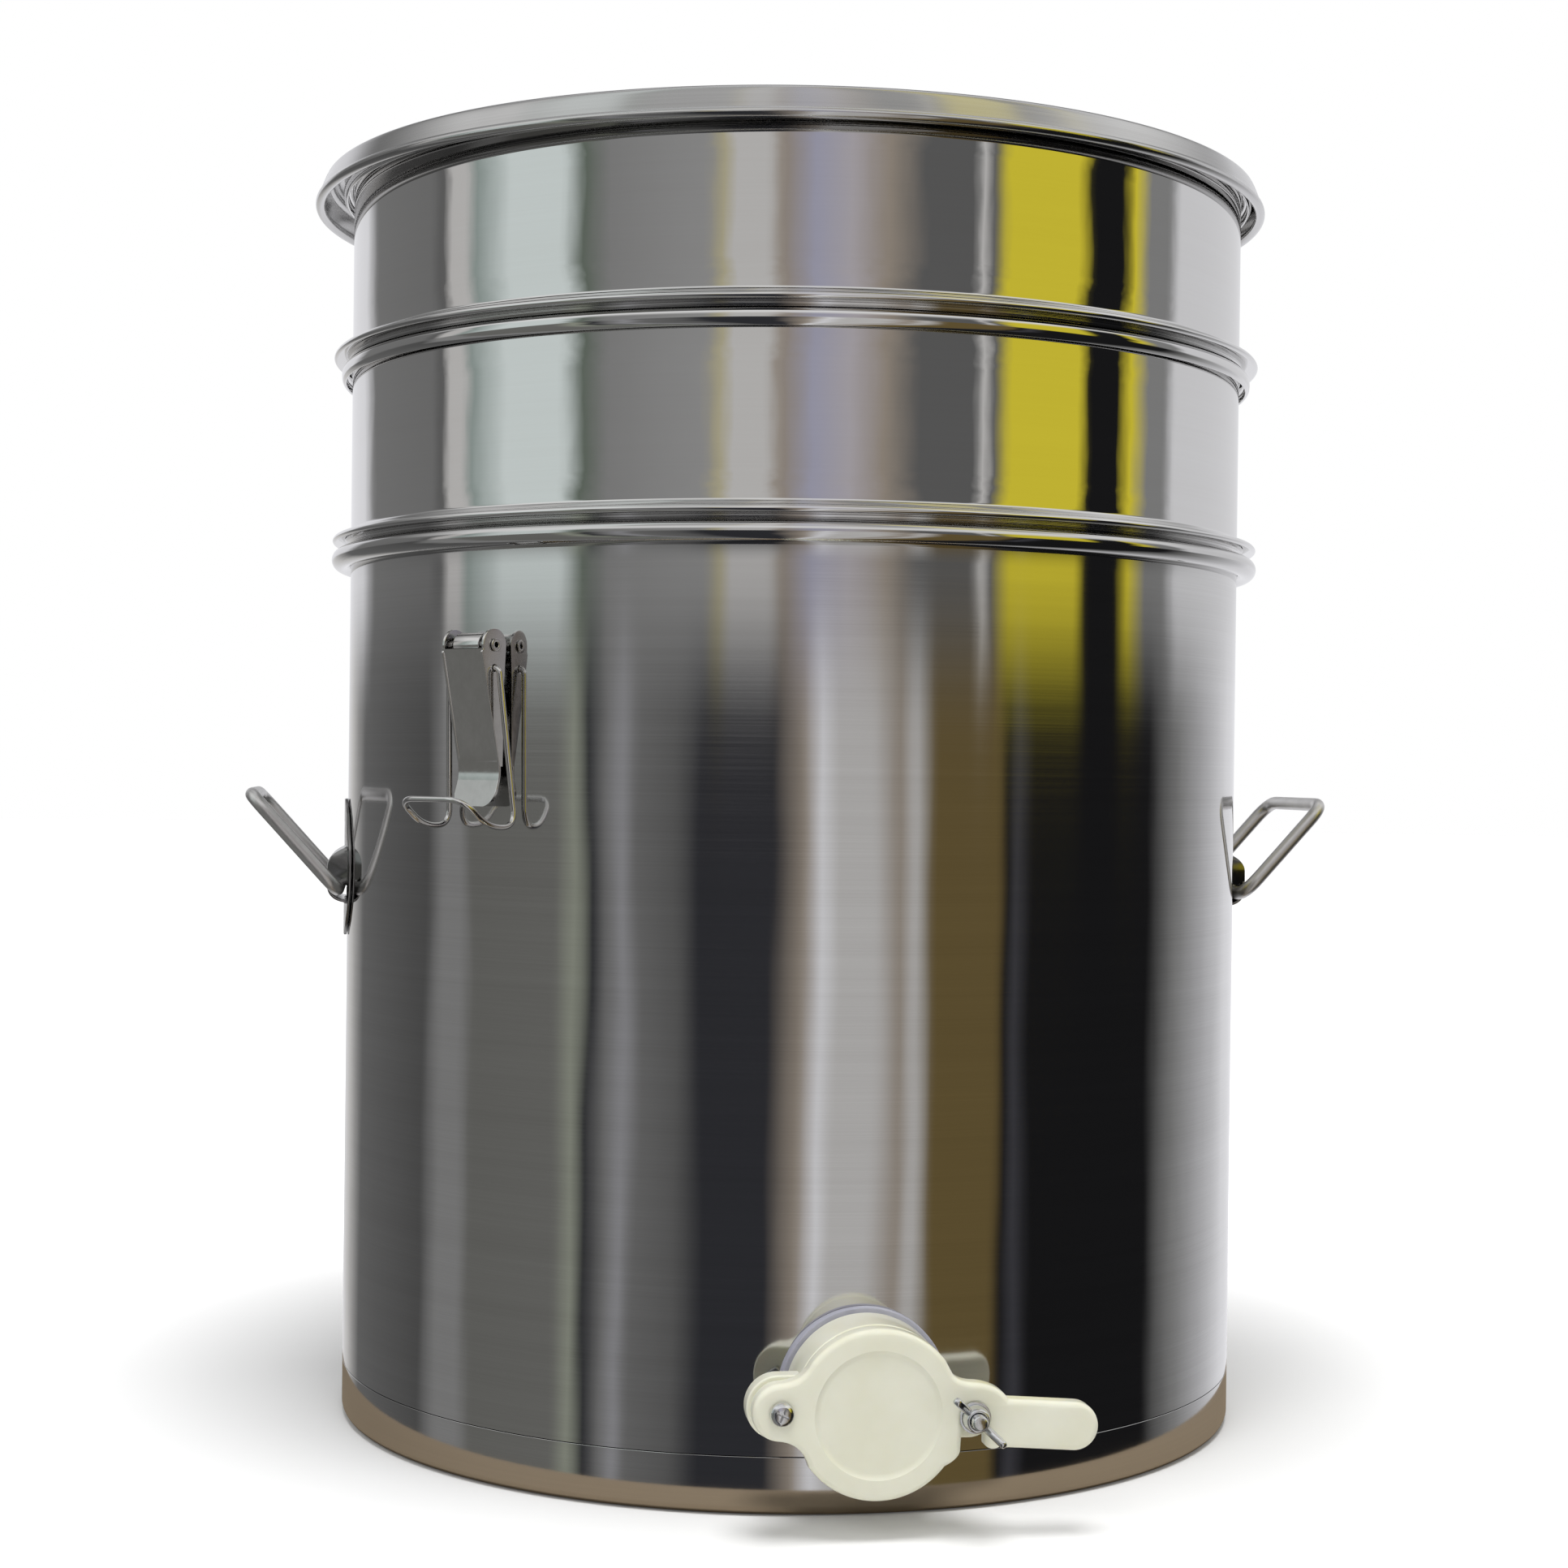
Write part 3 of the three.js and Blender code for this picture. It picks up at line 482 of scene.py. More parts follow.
def zinc(name):
    s = Shader(name)
    crystals = s.node("ShaderNodeTexVoronoi", {"Vector": s.place, "Scale": 1300.0}).outputs["Distance"]
    patches = s.noise(s.place, scale=330.0, detail=4.0)
    s.set(Metallic=1.0)
    s.set(Base_Color=s.ramp(patches, [(0.3, (0.62, 0.63, 0.65)), (0.7, (0.80, 0.81, 0.83))]))
    s.set(Roughness=s.between(patches, 0.12, 0.24))
    return s.bumps((crystals, 3e-6, 0.5), (patches, 8e-6, 0.5)).material


def cream_plastic(name):
    s = Shader(name)
    clouds = s.noise(s.place, scale=38.0, detail=3.0)
    peel = s.noise(s.place, scale=420.0, detail=2.0)
    scuffs = s.noise(s.place, scale=900.0, detail=3.0, roughness=0.7)
    s.set(Base_Color=s.ramp(clouds, [(0.3, (0.80, 0.79, 0.625)), (0.7, (0.86, 0.855, 0.72))]))
    s.set(Roughness=s.math("ADD", s.between(scuffs, 0.27, 0.33), s.between(clouds, 0.0, 0.06)))
    s.set(Subsurface_Weight=0.12, Subsurface_Scale=0.004, IOR=1.5, Coat_Weight=0.6, Coat_Roughness=0.07)
    s.set(Subsurface_Radius=(1.0, 0.8, 0.5))
    return s.bumps((peel, 1.8e-5, 0.5), (scuffs, 1.5e-6, 0.5)).material


def grey_rubber(name):
    s = Shader(name)
    grain = s.noise(s.place, scale=900.0, detail=4.0, roughness=0.7)
    dust = s.noise(s.place, scale=90.0, detail=4.0)
    s.set(Base_Color=s.ramp(dust, [(0.3, (0.36, 0.36, 0.43)), (0.7, (0.47, 0.47, 0.54))]))
    s.set(Roughness=s.between(grain, 0.55, 0.8))
    return s.bumps((grain, 3e-5, 0.7)).material


brushed = steel("brushed_shell", 0.04, 0.03, tone=0.6, lines=1500.0, depth=2e-7, anisotropic=0.8, grain=0.8)
mirror = steel("mirror_shell", 0.015, 0.015, tone=0.66, lines=700.0, depth=3e-8, waviness=1.6e-4, grain=0.25)
lid_steel = steel("lid_steel", 0.1, 0.06, tone=0.54, lines=1900.0, depth=2e-7, anisotropic=0.6)
bright_steel = fitting_steel("bright_fittings", 0.09, tone=0.62)
# Handle straps: the same stainless as the other fittings, with a low tone that is painted shade for the dark
# surroundings their plate reflects.
strap_steel_painted_shade = fitting_steel("straps_painted_shade", 0.14, tone=0.24)
rod_steel = fitting_steel("satin_rod", 0.36, tone=0.7, warmth=0.01, relief=0.25)
mesh_steel = fitting_steel("mesh_wire", 0.25, tone=0.55)
zinc_plate = zinc("plated_zinc")
cream = cream_plastic("moulded_cream")
rubber = grey_rubber("soft_grey_rubber")


# ---- Placing ----
def place(piece, body, slot, material, nodes, azimuth=0.0, offset_x=0.0, angle=32, weighted=False):
    """Scales a finished piece to metres, gives it its finish and ties it to its body."""
    moved(piece, Matrix.Scale(0.001, 4) @ Matrix.Rotation(math.radians(azimuth), 4, "Z"))
    tidy_mesh(piece, 1e-7)
    piece.data.shade_smooth()
    piece.data.set_sharp_from_angle(angle=math.radians(angle))
    if weighted:
        step = piece.modifiers.new("normals", "WEIGHTED_NORMAL")
        step.keep_sharp = True
        bake(piece)
    piece.data.materials.clear()
    piece.data.materials.append(material)
    piece.location.x = offset_x / 1000
    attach(piece, body)
    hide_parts(*nodes)
    return piece


# ---- Tank ----
def tank_wall():
    inner = TANK_R - SHEET
    bead_z = BEAD_TOP - BEAD_R
    foot = BOTTOM_FLANGE + GAP / 2
    rows = list(np.linspace(foot + 3, 366, 16))
    outline = [(inner, foot + 0.3), (inner + 0.3, foot), (TANK_R - 0.1, foot), (TANK_R, foot + 0.1)]
    outline += [(TANK_R, z) for z in rows]
    bead = arc(BEAD_CENTRE_R, bead_z, BEAD_R, -150, 150, 28)
    outline += [(TANK_R, bead[0][1] - 1.2), (TANK_R + 0.05, bead[0][1] - 0.3)] + bead
    outline += [(inner + 0.3, bead_z + 1.9), (inner, bead_z + 1.2)]
    outline += [(inner, z) for z in rows[::-1]]
    wall = turned("wall_sheet", outline)
    return cut(wall, outward_drill(GATE_SPIGOT_R + 0.5, TANK_R - 20, TANK_R + 10, 0, GATE_Z))


def tank_bottom():
    corner_r = 4.0
    corner = TANK_R - corner_r
    top = BOTTOM_FLANGE - GAP / 2
    outline = [(0, 0), (60, 0), (120, 0), (180, 0)] + arc(corner, corner_r, corner_r, -90, 0, 12)
    outline += [(TANK_R, 12), (TANK_R, top - 0.1), (TANK_R - 0.1, top)]
    outline += [(TANK_R - SHEET + 0.3, top), (TANK_R - SHEET, top - 0.3), (TANK_R - SHEET, 12)]
    outline += arc(corner, corner_r, corner_r - SHEET, 0, -90, 10)
    outline += [(180, SHEET), (120, SHEET), (60, SHEET), (0, SHEET)]
    return turned("floor_pan", outline)


place(tank_wall(), "tank", "brushed_shell", brushed, ["tank_wall"])
place(tank_bottom(), "tank", "brushed_shell", brushed, ["tank_bottom"])


# ---- Strainers ----
def strainer_ring(name, seat):
    inner = TANK_R - SHEET
    rim_top = seat + RING_PITCH - GAP
    rim_middle = rim_top - RIM_DROP / 2
    outline = [
        (LIP_R, seat - SPIGOT_DROP), (SPIGOT_R, seat - SPIGOT_DROP), (SPIGOT_R, seat), (TANK_R + 3.5, seat),
        (TANK_R + 1.4, seat + 0.9), (TANK_R + 1.4, seat + 2.1), (SHOULDER_R - 0.9, seat + 2.4),
        (SHOULDER_R, seat + 3.6), (SHOULDER_R - 0.9, seat + 5.2), (TANK_R + 2.5, seat + 5.8),
        (TANK_R, seat + 7.6), (TANK_R, seat + 20), (TANK_R, seat + 40), (TANK_R, seat + 60),
        (TANK_R, rim_top - 1.8), (RIM_R - 2.2, rim_top - 1.8), (RIM_R - SHEET, rim_middle),
        (RIM_R - 2.2, rim_top - RIM_DROP + 0.5), (RIM_R - 1.5, rim_top - RIM_DROP),
        (RIM_R - 0.3, rim_middle - 2.2), (RIM_R, rim_middle), (RIM_R - 0.3, rim_middle + 2.2),
        (RIM_R - 1.5, rim_top), (inner + 0.6, rim_top), (inner, rim_top - 0.6), (inner, seat + 60),
        (inner, seat + 40), (inner, seat + 20), (inner, seat + 2.2), (SPIGOT_R - SHEET, seat),
        (SPIGOT_R - SHEET, seat - SPIGOT_DROP + SHEET), (LIP_R, seat - SPIGOT_DROP + SHEET),
    ]
    return turned(name, softened(outline, 0.9, 5))


def flat_ring(name, outer, inner, bottom, thickness):
    top = bottom + thickness
    return turned(name, softened([(inner, bottom), (outer, bottom), (outer, top), (inner, top)], 0.35, 3))


def woven_mesh(name, radius, middle, pitch, wire_r):
    """Plain weave: each wire passes over and under the ones it crosses."""
    vertices, faces = [], []
    count = int(radius / pitch)
    for turned_quarter in (False, True):
        for row in range(-count, count + 1):
            offset = row * pitch
            half = math.sqrt(max(radius ** 2 - offset ** 2, 0))
            steps = int(half / (pitch / 2))
            if steps < 2:
                continue
            along = np.arange(-steps, steps + 1) * pitch / 2
            lift = np.cos(np.pi * along / pitch) * (-1) ** row * wire_r * 0.95
            if turned_quarter:
                points = np.column_stack([np.full_like(along, offset), along, middle - lift])
            else:
                points = np.column_stack([along, np.full_like(along, offset), middle + lift])
            new_vertices, new_faces = tube_arrays(points, wire_r, 4, cap_rings=0)
            base = len(vertices)
            vertices.extend(new_vertices)
            faces.extend([[base + index for index in face] for face in new_faces])
    return add_object(name, vertices, faces)


def cross_bars(name, bottom):
    half = SPIGOT_R - 5
    bar = [(-half, -6), (half, -6), (half, 6), (-half, 6)]
    upright = [(y, x) for x, y in bar][::-1]
    cross = union(plate(name, [bar], 1.5, 0.3), plate("bar", [upright], 1.5, 0.3))
    return moved(cross, Matrix.Translation((0, 0, bottom)))


for level, (tier, pitch, wire_r) in enumerate([("lower", 4.0, 0.35), ("upper", 6.0, 0.36)]):
    seat = RING_SEAT + level * RING_PITCH
    lip = seat - SPIGOT_DROP
    mesh_bottom = lip + SHEET + GAP
    clamp_bottom = mesh_bottom + 0.8 + GAP
    body = f"{tier}_strainer"
    place(strainer_ring(f"{tier}_ring", seat), body, "mirror_shell", mirror, [f"{tier}_strainer_ring"])
    weave = woven_mesh(f"{tier}_weave", SPIGOT_R - 2, mesh_bottom + 0.4, pitch, wire_r)
    place(weave, body, "woven_mesh", mesh_steel, [f"{tier}_strainer_mesh"])
    ring = flat_ring(f"{tier}_clamp_ring", SPIGOT_R - 1.6, LIP_R + 0.5, clamp_bottom, 1.2)
    place(ring, body, "stainless_fittings", bright_steel, [f"{tier}_strainer_clamp_ring"])
    cross = cross_bars(f"{tier}_cross", lip - GAP - 1.5)
    place(cross, body, "stainless_fittings", bright_steel, [f"{tier}_strainer_cross"], weighted=True)


# ---- Lid ----
def lid_pan():
    z = LID_SEAT
    hem_z = z - 9.5
    outline = [(0, z + 3), (60, z + 3), (120, z + 3), (LID_PLATEAU_R, z + 3), (LID_PLATEAU_R + 4, z)]
    outline += [(203.6, z), (206, z + 1.2), (208.1, z + 0.2), (208.9, z - 1.2), (211.2, hem_z + 2.1)]
    outline += arc(LID_HEM_CENTRE_R, hem_z, LID_HEM_R, 140, 420, 22)
    outline += [(209.9, z - 1), (208.9, z + 1), (206.6, z + 2.1), (203.2, z + LID_SHEET)]
    outline += [(LID_PLATEAU_R + 4.3, z + LID_SHEET), (LID_PLATEAU_R + 0.3, LID_TOP)]
    outline += [(120, LID_TOP), (60, LID_TOP), (0, LID_TOP)]
    pan = turned("lid_sheet", softened(outline, 1.0, 5))
    for side in (-1, 1):
        hole = turned("hole", [(0, -10), (RIVET_R + GAP, -10), (RIVET_R + GAP, 10), (0, 10)], 48)
        cut(pan, moved(hole, Matrix.Translation((side * LID_HANDLE_HALF, 0, LID_TOP))))
    return pan


def lid_handle():
    foot = LID_TOP + GAP
    rise = LID_TOP + LID_HANDLE_RISE
    inner = LID_HANDLE_HALF - 9
    corners = [(-inner, 0, foot + 0.4), (-inner + 4, 0, rise), (inner - 4, 0, rise), (inner, 0, foot + 0.4)]
    bow = tube("lid_bow", bent_path(corners, 12), 3.5, 32)
    for side in (-1, 1):
        outline = [(RIVET_R + GAP, 0), (14, 0), (14, 1.2), (12.4, 2), (RIVET_R + GAP, 2)]
        pad = turned("pad", softened(outline, 0.5), 64)
        union(bow, moved(pad, Matrix.Translation((side * LID_HANDLE_HALF, 0, foot))))
    return bow


def lid_rivet(name, side):
    top = LID_TOP + 2 + 2 * GAP
    bottom = LID_TOP - LID_SHEET - GAP
    dome = [(0, top + 2.1), (1.6, top + 1.9), (3.0, top + 1.35), (3.9, top + 0.6), (4.2, top)]
    outline = [(0, bottom - 1.6), (3, bottom - 1.5), (4.2, bottom - 1.0), (4.2, bottom), (RIVET_R, bottom)]
    outline += [(RIVET_R, top)] + dome[::-1]
    return moved(turned(name, outline, 48), Matrix.Translation((side * LID_HANDLE_HALF, 0, 0)))


LID = {"offset_x": LID_SHIFT_X}
place(lid_pan(), "lid", "brushed_shell", lid_steel, ["lid_pan"], **LID)
place(lid_handle(), "lid", "stainless_fittings", bright_steel, ["lid_handle"], **LID)
for word, side in (("left", -1), ("right", 1)):
    rivet = lid_rivet(f"lid_rivet_head_{word}", side)
    place(rivet, "lid", "stainless_fittings", bright_steel, [f"lid_rivet_{word}"], **LID)


# ---- Carrying handles ----
def bracket(name):
    """A pressed strap: a lens-shaped plate on the wall with a hump over the handle's pivot."""
    middle = HANDLE_PIVOT_Z + 9
    tunnel = 24.0
    front = HANDLE_PIVOT_R + HANDLE_ROD_R + 0.4
    low, high = HANDLE_PIVOT_Z - HANDLE_ROD_R - 0.5, HANDLE_PIVOT_Z + 14
    base_r = TANK_R + GAP
    profile = [(0.0, middle - 30), (0.0, middle - 24), (0.0, low - 6), (0.0, low - 3)]
    profile.append((TANK_R + 1.0, low - 1.5))
    curve_to(profile, (front, low - 0.5), (front, low + 5), 10)
    profile += [(front, low + 9), (front, high - 4)]
    curve_to(profile, (front - 0.3, high), (TANK_R + 1.0, high + 2.5), 10)
    profile += [(0.0, high + 4), (0.0, middle + 22), (0.0, middle + 26), (0.0, middle + 30)]
    rim = [(12.0, 30.0)]
    curve_to(rim, (32, 20), (32, 0), 24)
    rim_z = np.array([p[1] for p in rim])[::-1]
    rim_x = np.array([p[0] for p in rim])[::-1]
    vertices, faces = [], []

    def add_strip(x_from, x_to, columns, middle_strip):
        first = len(vertices)
        for distance, z in profile:
            half = float(np.interp(abs(z - middle), rim_z, rim_x))
            closed = z > HANDLE_PIVOT_Z + HANDLE_ROD_R + 1.6
            for t in np.linspace(x_from, x_to, columns + 1):
                raised = middle_strip or (closed and abs(t) < 1.01)
                inside = min(tunnel, half)
                x = math.copysign(min(abs(t), 1.0) * inside + max(abs(t) - 1, 0) * (half - inside), t)
                wall = math.sqrt(base_r ** 2 - x ** 2)
                vertices.append((x, -max(wall, distance if raised else 0), z))
        width = columns + 1
        for row in range(len(profile) - 1):
            for k in range(columns):
                a = first + row * width + k
                faces.append([a, a + 1, a + 1 + width, a + width])

    add_strip(-1, 1, 16, True)
    add_strip(-2, -1, 4, False)
    add_strip(1, 2, 4, False)
    strap = add_object(name, vertices, faces)
    outward = sum((f.normal.y for f in strap.data.polygons))
    if outward > 0:
        strap.data.flip_normals()
    step = strap.modifiers.new("sheet", "SOLIDIFY")
    step.thickness = 1.2
    step.offset = 1
    bake(strap)
    return rounded_edges(strap, 0.3, 50, 2)


def carrying_handle(name):
    out = np.array([0, -math.cos(math.radians(HANDLE_REST)), math.sin(math.radians(HANDLE_REST))])
    pivot = np.array([0, -HANDLE_PIVOT_R, HANDLE_PIVOT_Z])

    def at(x, reach):
        return pivot + out * reach + np.array([x, 0, 0])

    half = HANDLE_HALF_WIDTH
    right = [at(GAP, 0), at(half, 0), at(half, HANDLE_REACH)]
    left = [at(-half, HANDLE_REACH), at(-half, 0), at(-GAP, 0)]
    return tube(name, bent_path(right + left, 10), HANDLE_ROD_R, 32)


for word, azimuth in (("left", -90), ("right", 90)):
    strap = bracket(f"strap_{word}")
    place(strap, "tank", "stainless_fittings", strap_steel_painted_shade, [f"handle_bracket_{word}"], azimuth)
    bow = carrying_handle(f"carrying_handle_{word}")
    place(bow, f"handle_{word}", "stainless_fittings", rod_steel, [f"handle_{word}"], azimuth)


# ---- Draw latches ----
def latch_base(name):
    back = TANK_R + GAP + 0.2
    outline = [(back, LATCH_PIN_Z - 34), (back + LATCH_SHEET, LATCH_PIN_Z - 34)]
    outline += [(back + LATCH_SHEET, LATCH_PIN_Z - 8)]
    outline += arc(LATCH_PIN_R, LATCH_PIN_Z, LATCH_KNUCKLE_R, -125, 125, 28) + [(back, LATCH_PIN_Z + 4)]
    hole = arc(LATCH_PIN_R, LATCH_PIN_Z, 2.2, 360, 0, 28)[:-1]
    return side_plate(name, [outline, hole], -7, 7, 0.35)


def latch_pin(name):
    half = LATCH_HALF_WIDTH + GAP + 0.7
    head = LATCH_HALF_WIDTH + GAP
    outline = [(1.1, -half), (2.6, -half), (2.6, -head), (1.9, -head)]
    outline += [(1.9, head), (2.6, head), (2.6, half), (1.1, half)]
    pin = turned(name, softened(outline, 0.35, 4), 40)
    across = Matrix.Rotation(math.pi / 2, 4, "Y")
    return moved(pin, Matrix.Translation((0, -LATCH_PIN_R, LATCH_PIN_Z)) @ across)


def latch_lever(name):
    top, bottom, tab = (214.8, 331.0), (203.9, 286.0), (208.2, 270.4)
    strip = [(214.4, 332.4), (206.0, 294.5)]
    curve_to(strip, (203.7, 285.0), (204.9, 280.6), 10)
    strip += [tab, (tab[0] - LATCH_SHEET, tab[1] - 0.2)]
    inner = [(203.7, 280.3)]
    curve_to(inner, (202.5, 285.0), (204.8, 294.8), 10)
    strip += inner + [(213.2, 332.4)]
    half = LATCH_HALF_WIDTH
    lever = side_plate(name, [strip], -half, half, 0.4)
    ear = [(bottom[0] + 0.4, bottom[1]), (top[0] - 0.1, top[1])]
    ear += arc(LATCH_PIN_R, LATCH_PIN_Z, 6.5, -15, 185, 36)
    curve_to(ear, (TANK_R + 1.3, LATCH_PIN_Z - 4), (TANK_R + 2.0, LATCH_PIN_Z - 14), 8)
    ear.append((bottom[0] - LATCH_SHEET - 0.3, bottom[1]))
    pin_hole = arc(LATCH_PIN_R, LATCH_PIN_Z, 2.2, 360, 0, 28)[:-1]
    bail_hole = arc(LATCH_PIN_R, LATCH_PIN_Z - BAIL_DROP, BAIL_WIRE_R + GAP, 360, 0, 20)[:-1]
    for side in (-1, 1):
        x = side * (half - LATCH_SHEET / 2)
        cheek = side_plate("ear", [ear, pin_hole, bail_hole], x - LATCH_SHEET / 2, x + LATCH_SHEET / 2, 0.25)
        union(lever, cheek)
    for side in (-1, 1):
        corner = [(side * (half + 2), tab[1] - 2), (side * (half + 2), tab[1] + 8), (side * half, tab[1] + 8)]
        curve_to(corner, (side * half, tab[1]), (side * (half - 7), tab[1] - 0.3), 10)
        corner.append((side * (half - 7), tab[1] - 2))
        tool = moved(plate("corner", [corner if side > 0 else corner[::-1]], 20, 0.01), OUTWARD)
        cut(lever, moved(tool, Matrix.Translation((0, -TANK_R + 1, 0))))
    return lever


def latch_bail(name):
    top = LATCH_PIN_Z - BAIL_DROP
    side = [
        (LATCH_HALF_WIDTH - 2.4, -LATCH_PIN_R, top), (LATCH_HALF_WIDTH + 2.4, -LATCH_PIN_R, top),
        (18, -(TANK_R + 2.2), 262.4), (18, -(TANK_R + 17), 262.4), (17.4, -(TANK_R + 31), 273.2),
    ]
    mirrored = [(-x, y, z) for x, y, z in side]
    points = bent_path(mirrored + side[::-1], 9, 0.4, 16)
    return tube(name, points, BAIL_WIRE_R, 20)


for word, azimuth in (("front", LATCH_AZIMUTH), ("back", LATCH_AZIMUTH + 180)):
    base = latch_base(f"knuckle_{word}")
    place(base, "tank", "stainless_fittings", bright_steel, [f"latch_{word}_base"], azimuth)
    pin = latch_pin(f"hollow_pin_{word}")
    place(pin, "tank", "stainless_fittings", bright_steel, [f"latch_{word}_pin"], azimuth)
    lever = latch_lever(f"draw_lever_{word}")
    place(lever, f"latch_{word}_lever", "stainless_fittings", bright_steel, [f"latch_{word}_lever"], azimuth,
          weighted=True)
    hook = latch_bail(f"wire_bail_{word}")
    place(hook, f"latch_{word}_bail", "stainless_fittings", bright_steel, [f"latch_{word}_bail"], azimuth)


# ---- Honey gate ----
def gate_body():
    barrel = [
        (GATE_BORE_R, 184), (GATE_SPIGOT_R, 184), (GATE_SPIGOT_R, GATE_BACK), (GATE_BARREL_R, GATE_BACK),
        (GATE_BARREL_R, GATE_FACE), (GATE_BORE_R, GATE_FACE),
    ]
    body = outward_turned("gate_barrel", softened(barrel, 0.8, 4), 0, GATE_Z, 160)

    def lug(x, z, radius):
        inward = -math.copysign(14, x)
        start, end = (90, -90) if x > 0 else (90, 270)
        outline = arc(x, z, radius, start, end, 32) + [(x + inward, z - radius), (x + inward, z + radius)]
        return outward_plate("lug", [outline], LUG_BACK, GATE_FACE - 0.1, 0.8, 0, GATE_Z)

    union(body, lug(HINGE_X, HINGE_Z, 12), lug(CLAMP_X, CLAMP_Z, 10))
    cut(body, outward_drill(GATE_BORE_R, 200, 230, 0, GATE_Z, 160))
    cut(body, outward_drill(2.7, 200, 240, HINGE_X, GATE_Z + HINGE_Z, 40))
    return cut(body, outward_drill(3.2, 200, 240, CLAMP_X, GATE_Z + CLAMP_Z, 40))


def gasket(name, outer, start, end, wall_radius, inside):
    """A flat ring whose one face follows the tank's curve."""
    outline = [(GATE_SPIGOT_R + GAP, start), (outer, start), (outer, end), (GATE_SPIGOT_R + GAP, end)]
    ring = outward_turned(name, softened(outline, 0.5, 4), 0, GATE_Z, 128)
    for vertex in ring.data.vertices:
        wall = math.sqrt(wall_radius ** 2 - vertex.co.x ** 2)
        distance = -vertex.co.y
        vertex.co.y = -(min(distance, wall) if inside else max(distance, wall))
    return ring


def lock_nut():
    lobes = []
    for k in range(12):
        lobes += arc(0, 0, 33, 30 * k - 10, 30 * k + 6, 5) + arc(0, 0, 31.4, 30 * k + 10, 30 * k + 16, 2)
    hole = arc(0, 0, GATE_SPIGOT_R + GAP, 360, 0, 96)[:-1]
    return outward_plate("lock_nut_ring", [lobes, hole], 185.5, 193.5, 0.7, 0, GATE_Z)


def cover_outline():
    lug_r, clamp_lug_r, slot_r, handle_r = 10.8, 12.6, 4.2, 9.1
    droop = math.radians(COVER_DROOP)

    def handle_at(reach, side):
        return (CLAMP_X + reach * math.cos(droop) + side * math.sin(droop),
                CLAMP_Z - 2 - reach * math.sin(droop) + side * math.cos(droop))

    end, top, bottom = handle_at(38.8, 0), handle_at(12.6, handle_r), handle_at(10.5, -handle_r)
    lug_top = CLAMP_Z + clamp_lug_r
    points = arc(0, -COVER_DROP, GATE_DISC_R, 38, 142, 64)
    curve_to(points, (HINGE_X + 7.5, HINGE_Z + lug_r), (HINGE_X - 1.5, HINGE_Z + lug_r))
    points += arc(HINGE_X, HINGE_Z, lug_r, 98, 262, 40)
    curve_to(points, (HINGE_X + 8, HINGE_Z - lug_r - 0.5), (-25.9, -20.1))
    points += arc(0, -COVER_DROP, GATE_DISC_R, 217, 322, 64)
    curve_to(points, (30.6, -18.4), (CLAMP_X - slot_r - 0.8, -15.2), 6)
    points += arc(CLAMP_X, CLAMP_Z, slot_r, 180, 0, 28)
    points.append((CLAMP_X + slot_r, -13.2))
    curve_to(points, (CLAMP_X + slot_r + 2.4, -16), bottom, 6)
    points += arc(*end, handle_r, -90 - COVER_DROOP, 90 - COVER_DROOP, 36)
    points.append(top)
    curve_to(points, (CLAMP_X + 9.5, lug_top - 1), (CLAMP_X + 1, lug_top), 10)
    curve_to(points, (CLAMP_X - 5.5, lug_top + 0.1), (CLAMP_X - 8.2, lug_top + 3.4), 8)
    return points


def gate_cover():
    cover = outward_plate("swing_cover", [cover_outline()], COVER_BACK, COVER_FRONT, COVER_EDGE, 0, GATE_Z)
    recess = softened([(0, COVER_FRONT - 0.8), (22.6, COVER_FRONT - 0.8), (24.6, COVER_FRONT + 0.2),
                       (24.9, COVER_FRONT + 4), (0, COVER_FRONT + 4)], 0.9, 6)
    cut(cover, outward_turned("recess", recess, 0, GATE_Z - COVER_DROP, 128))
    cut(cover, outward_drill(2.75, 200, 260, HINGE_X, GATE_Z + HINGE_Z, 40))
    return rounded_edges(cover, 0.35, 38, 3)


def hinge_screw():
    seat = COVER_FRONT + GAP
    outline = [(0, 212.6), (2.0, 212.6), (2.4, 213.2), (2.4, seat), (4.65, seat), (4.65, seat + 0.9)]
    outline += [(4.2, seat + 2.0), (3.1, seat + 2.75), (1.6, seat + 3.05), (0, seat + 3.1)]
    screw = outward_turned("pan_head_screw", softened(outline, 0.3, 3), 0, 0, 48)
    for turn in (25, 115):
        slot = [(-2.6, -0.45), (2.6, -0.45), (2.6, 0.45), (-2.6, 0.45)]
        arm = outward_plate("arm", [slot], seat + 1.1, seat + 6, 0.02)
        cut(screw, moved(arm, Matrix.Rotation(math.radians(turn), 4, "Y")))
    return moved(screw, Matrix.Translation((HINGE_X, 0, GATE_Z + HINGE_Z)))


def hex_outline(across):
    angles = [math.pi / 3 * (k + 0.5) for k in range(6)]
    return [(across * math.cos(a), across * math.sin(a)) for a in angles]


def hinge_nut():
    hole = arc(0, 0, 2.7, 360, 0, 32)[:-1]
    return outward_plate("hinge_hex_nut", [hex_outline(4.6), hole], 213.8, LUG_BACK - GAP, 0.35,
                         HINGE_X, GATE_Z + HINGE_Z)


def clamp_bolt():
    shank = moved(threaded_rod("clamp_bolt_thread", 2.9, 214.5, 246.8), OUTWARD)
    head = outward_plate("head", [hex_outline(5.6)], 213.6, LUG_BACK - GAP, 0.35)
    return moved(union(shank, head), Matrix.Translation((CLAMP_X, 0, GATE_Z + CLAMP_Z)))


WASHER_BACK = COVER_FRONT + GAP
WASHER_FRONT = WASHER_BACK + 1.2
WING_BACK = WASHER_FRONT + GAP
WING_THICKNESS = 3.0
WING_TURN = 43


def clamp_washer():
    outline = [(3.2, WASHER_BACK), (6, WASHER_BACK), (6, WASHER_FRONT), (3.2, WASHER_FRONT)]
    return outward_turned("clamp_washer_ring", softened(outline, 0.3, 3), CLAMP_X, GATE_Z + CLAMP_Z, 48)


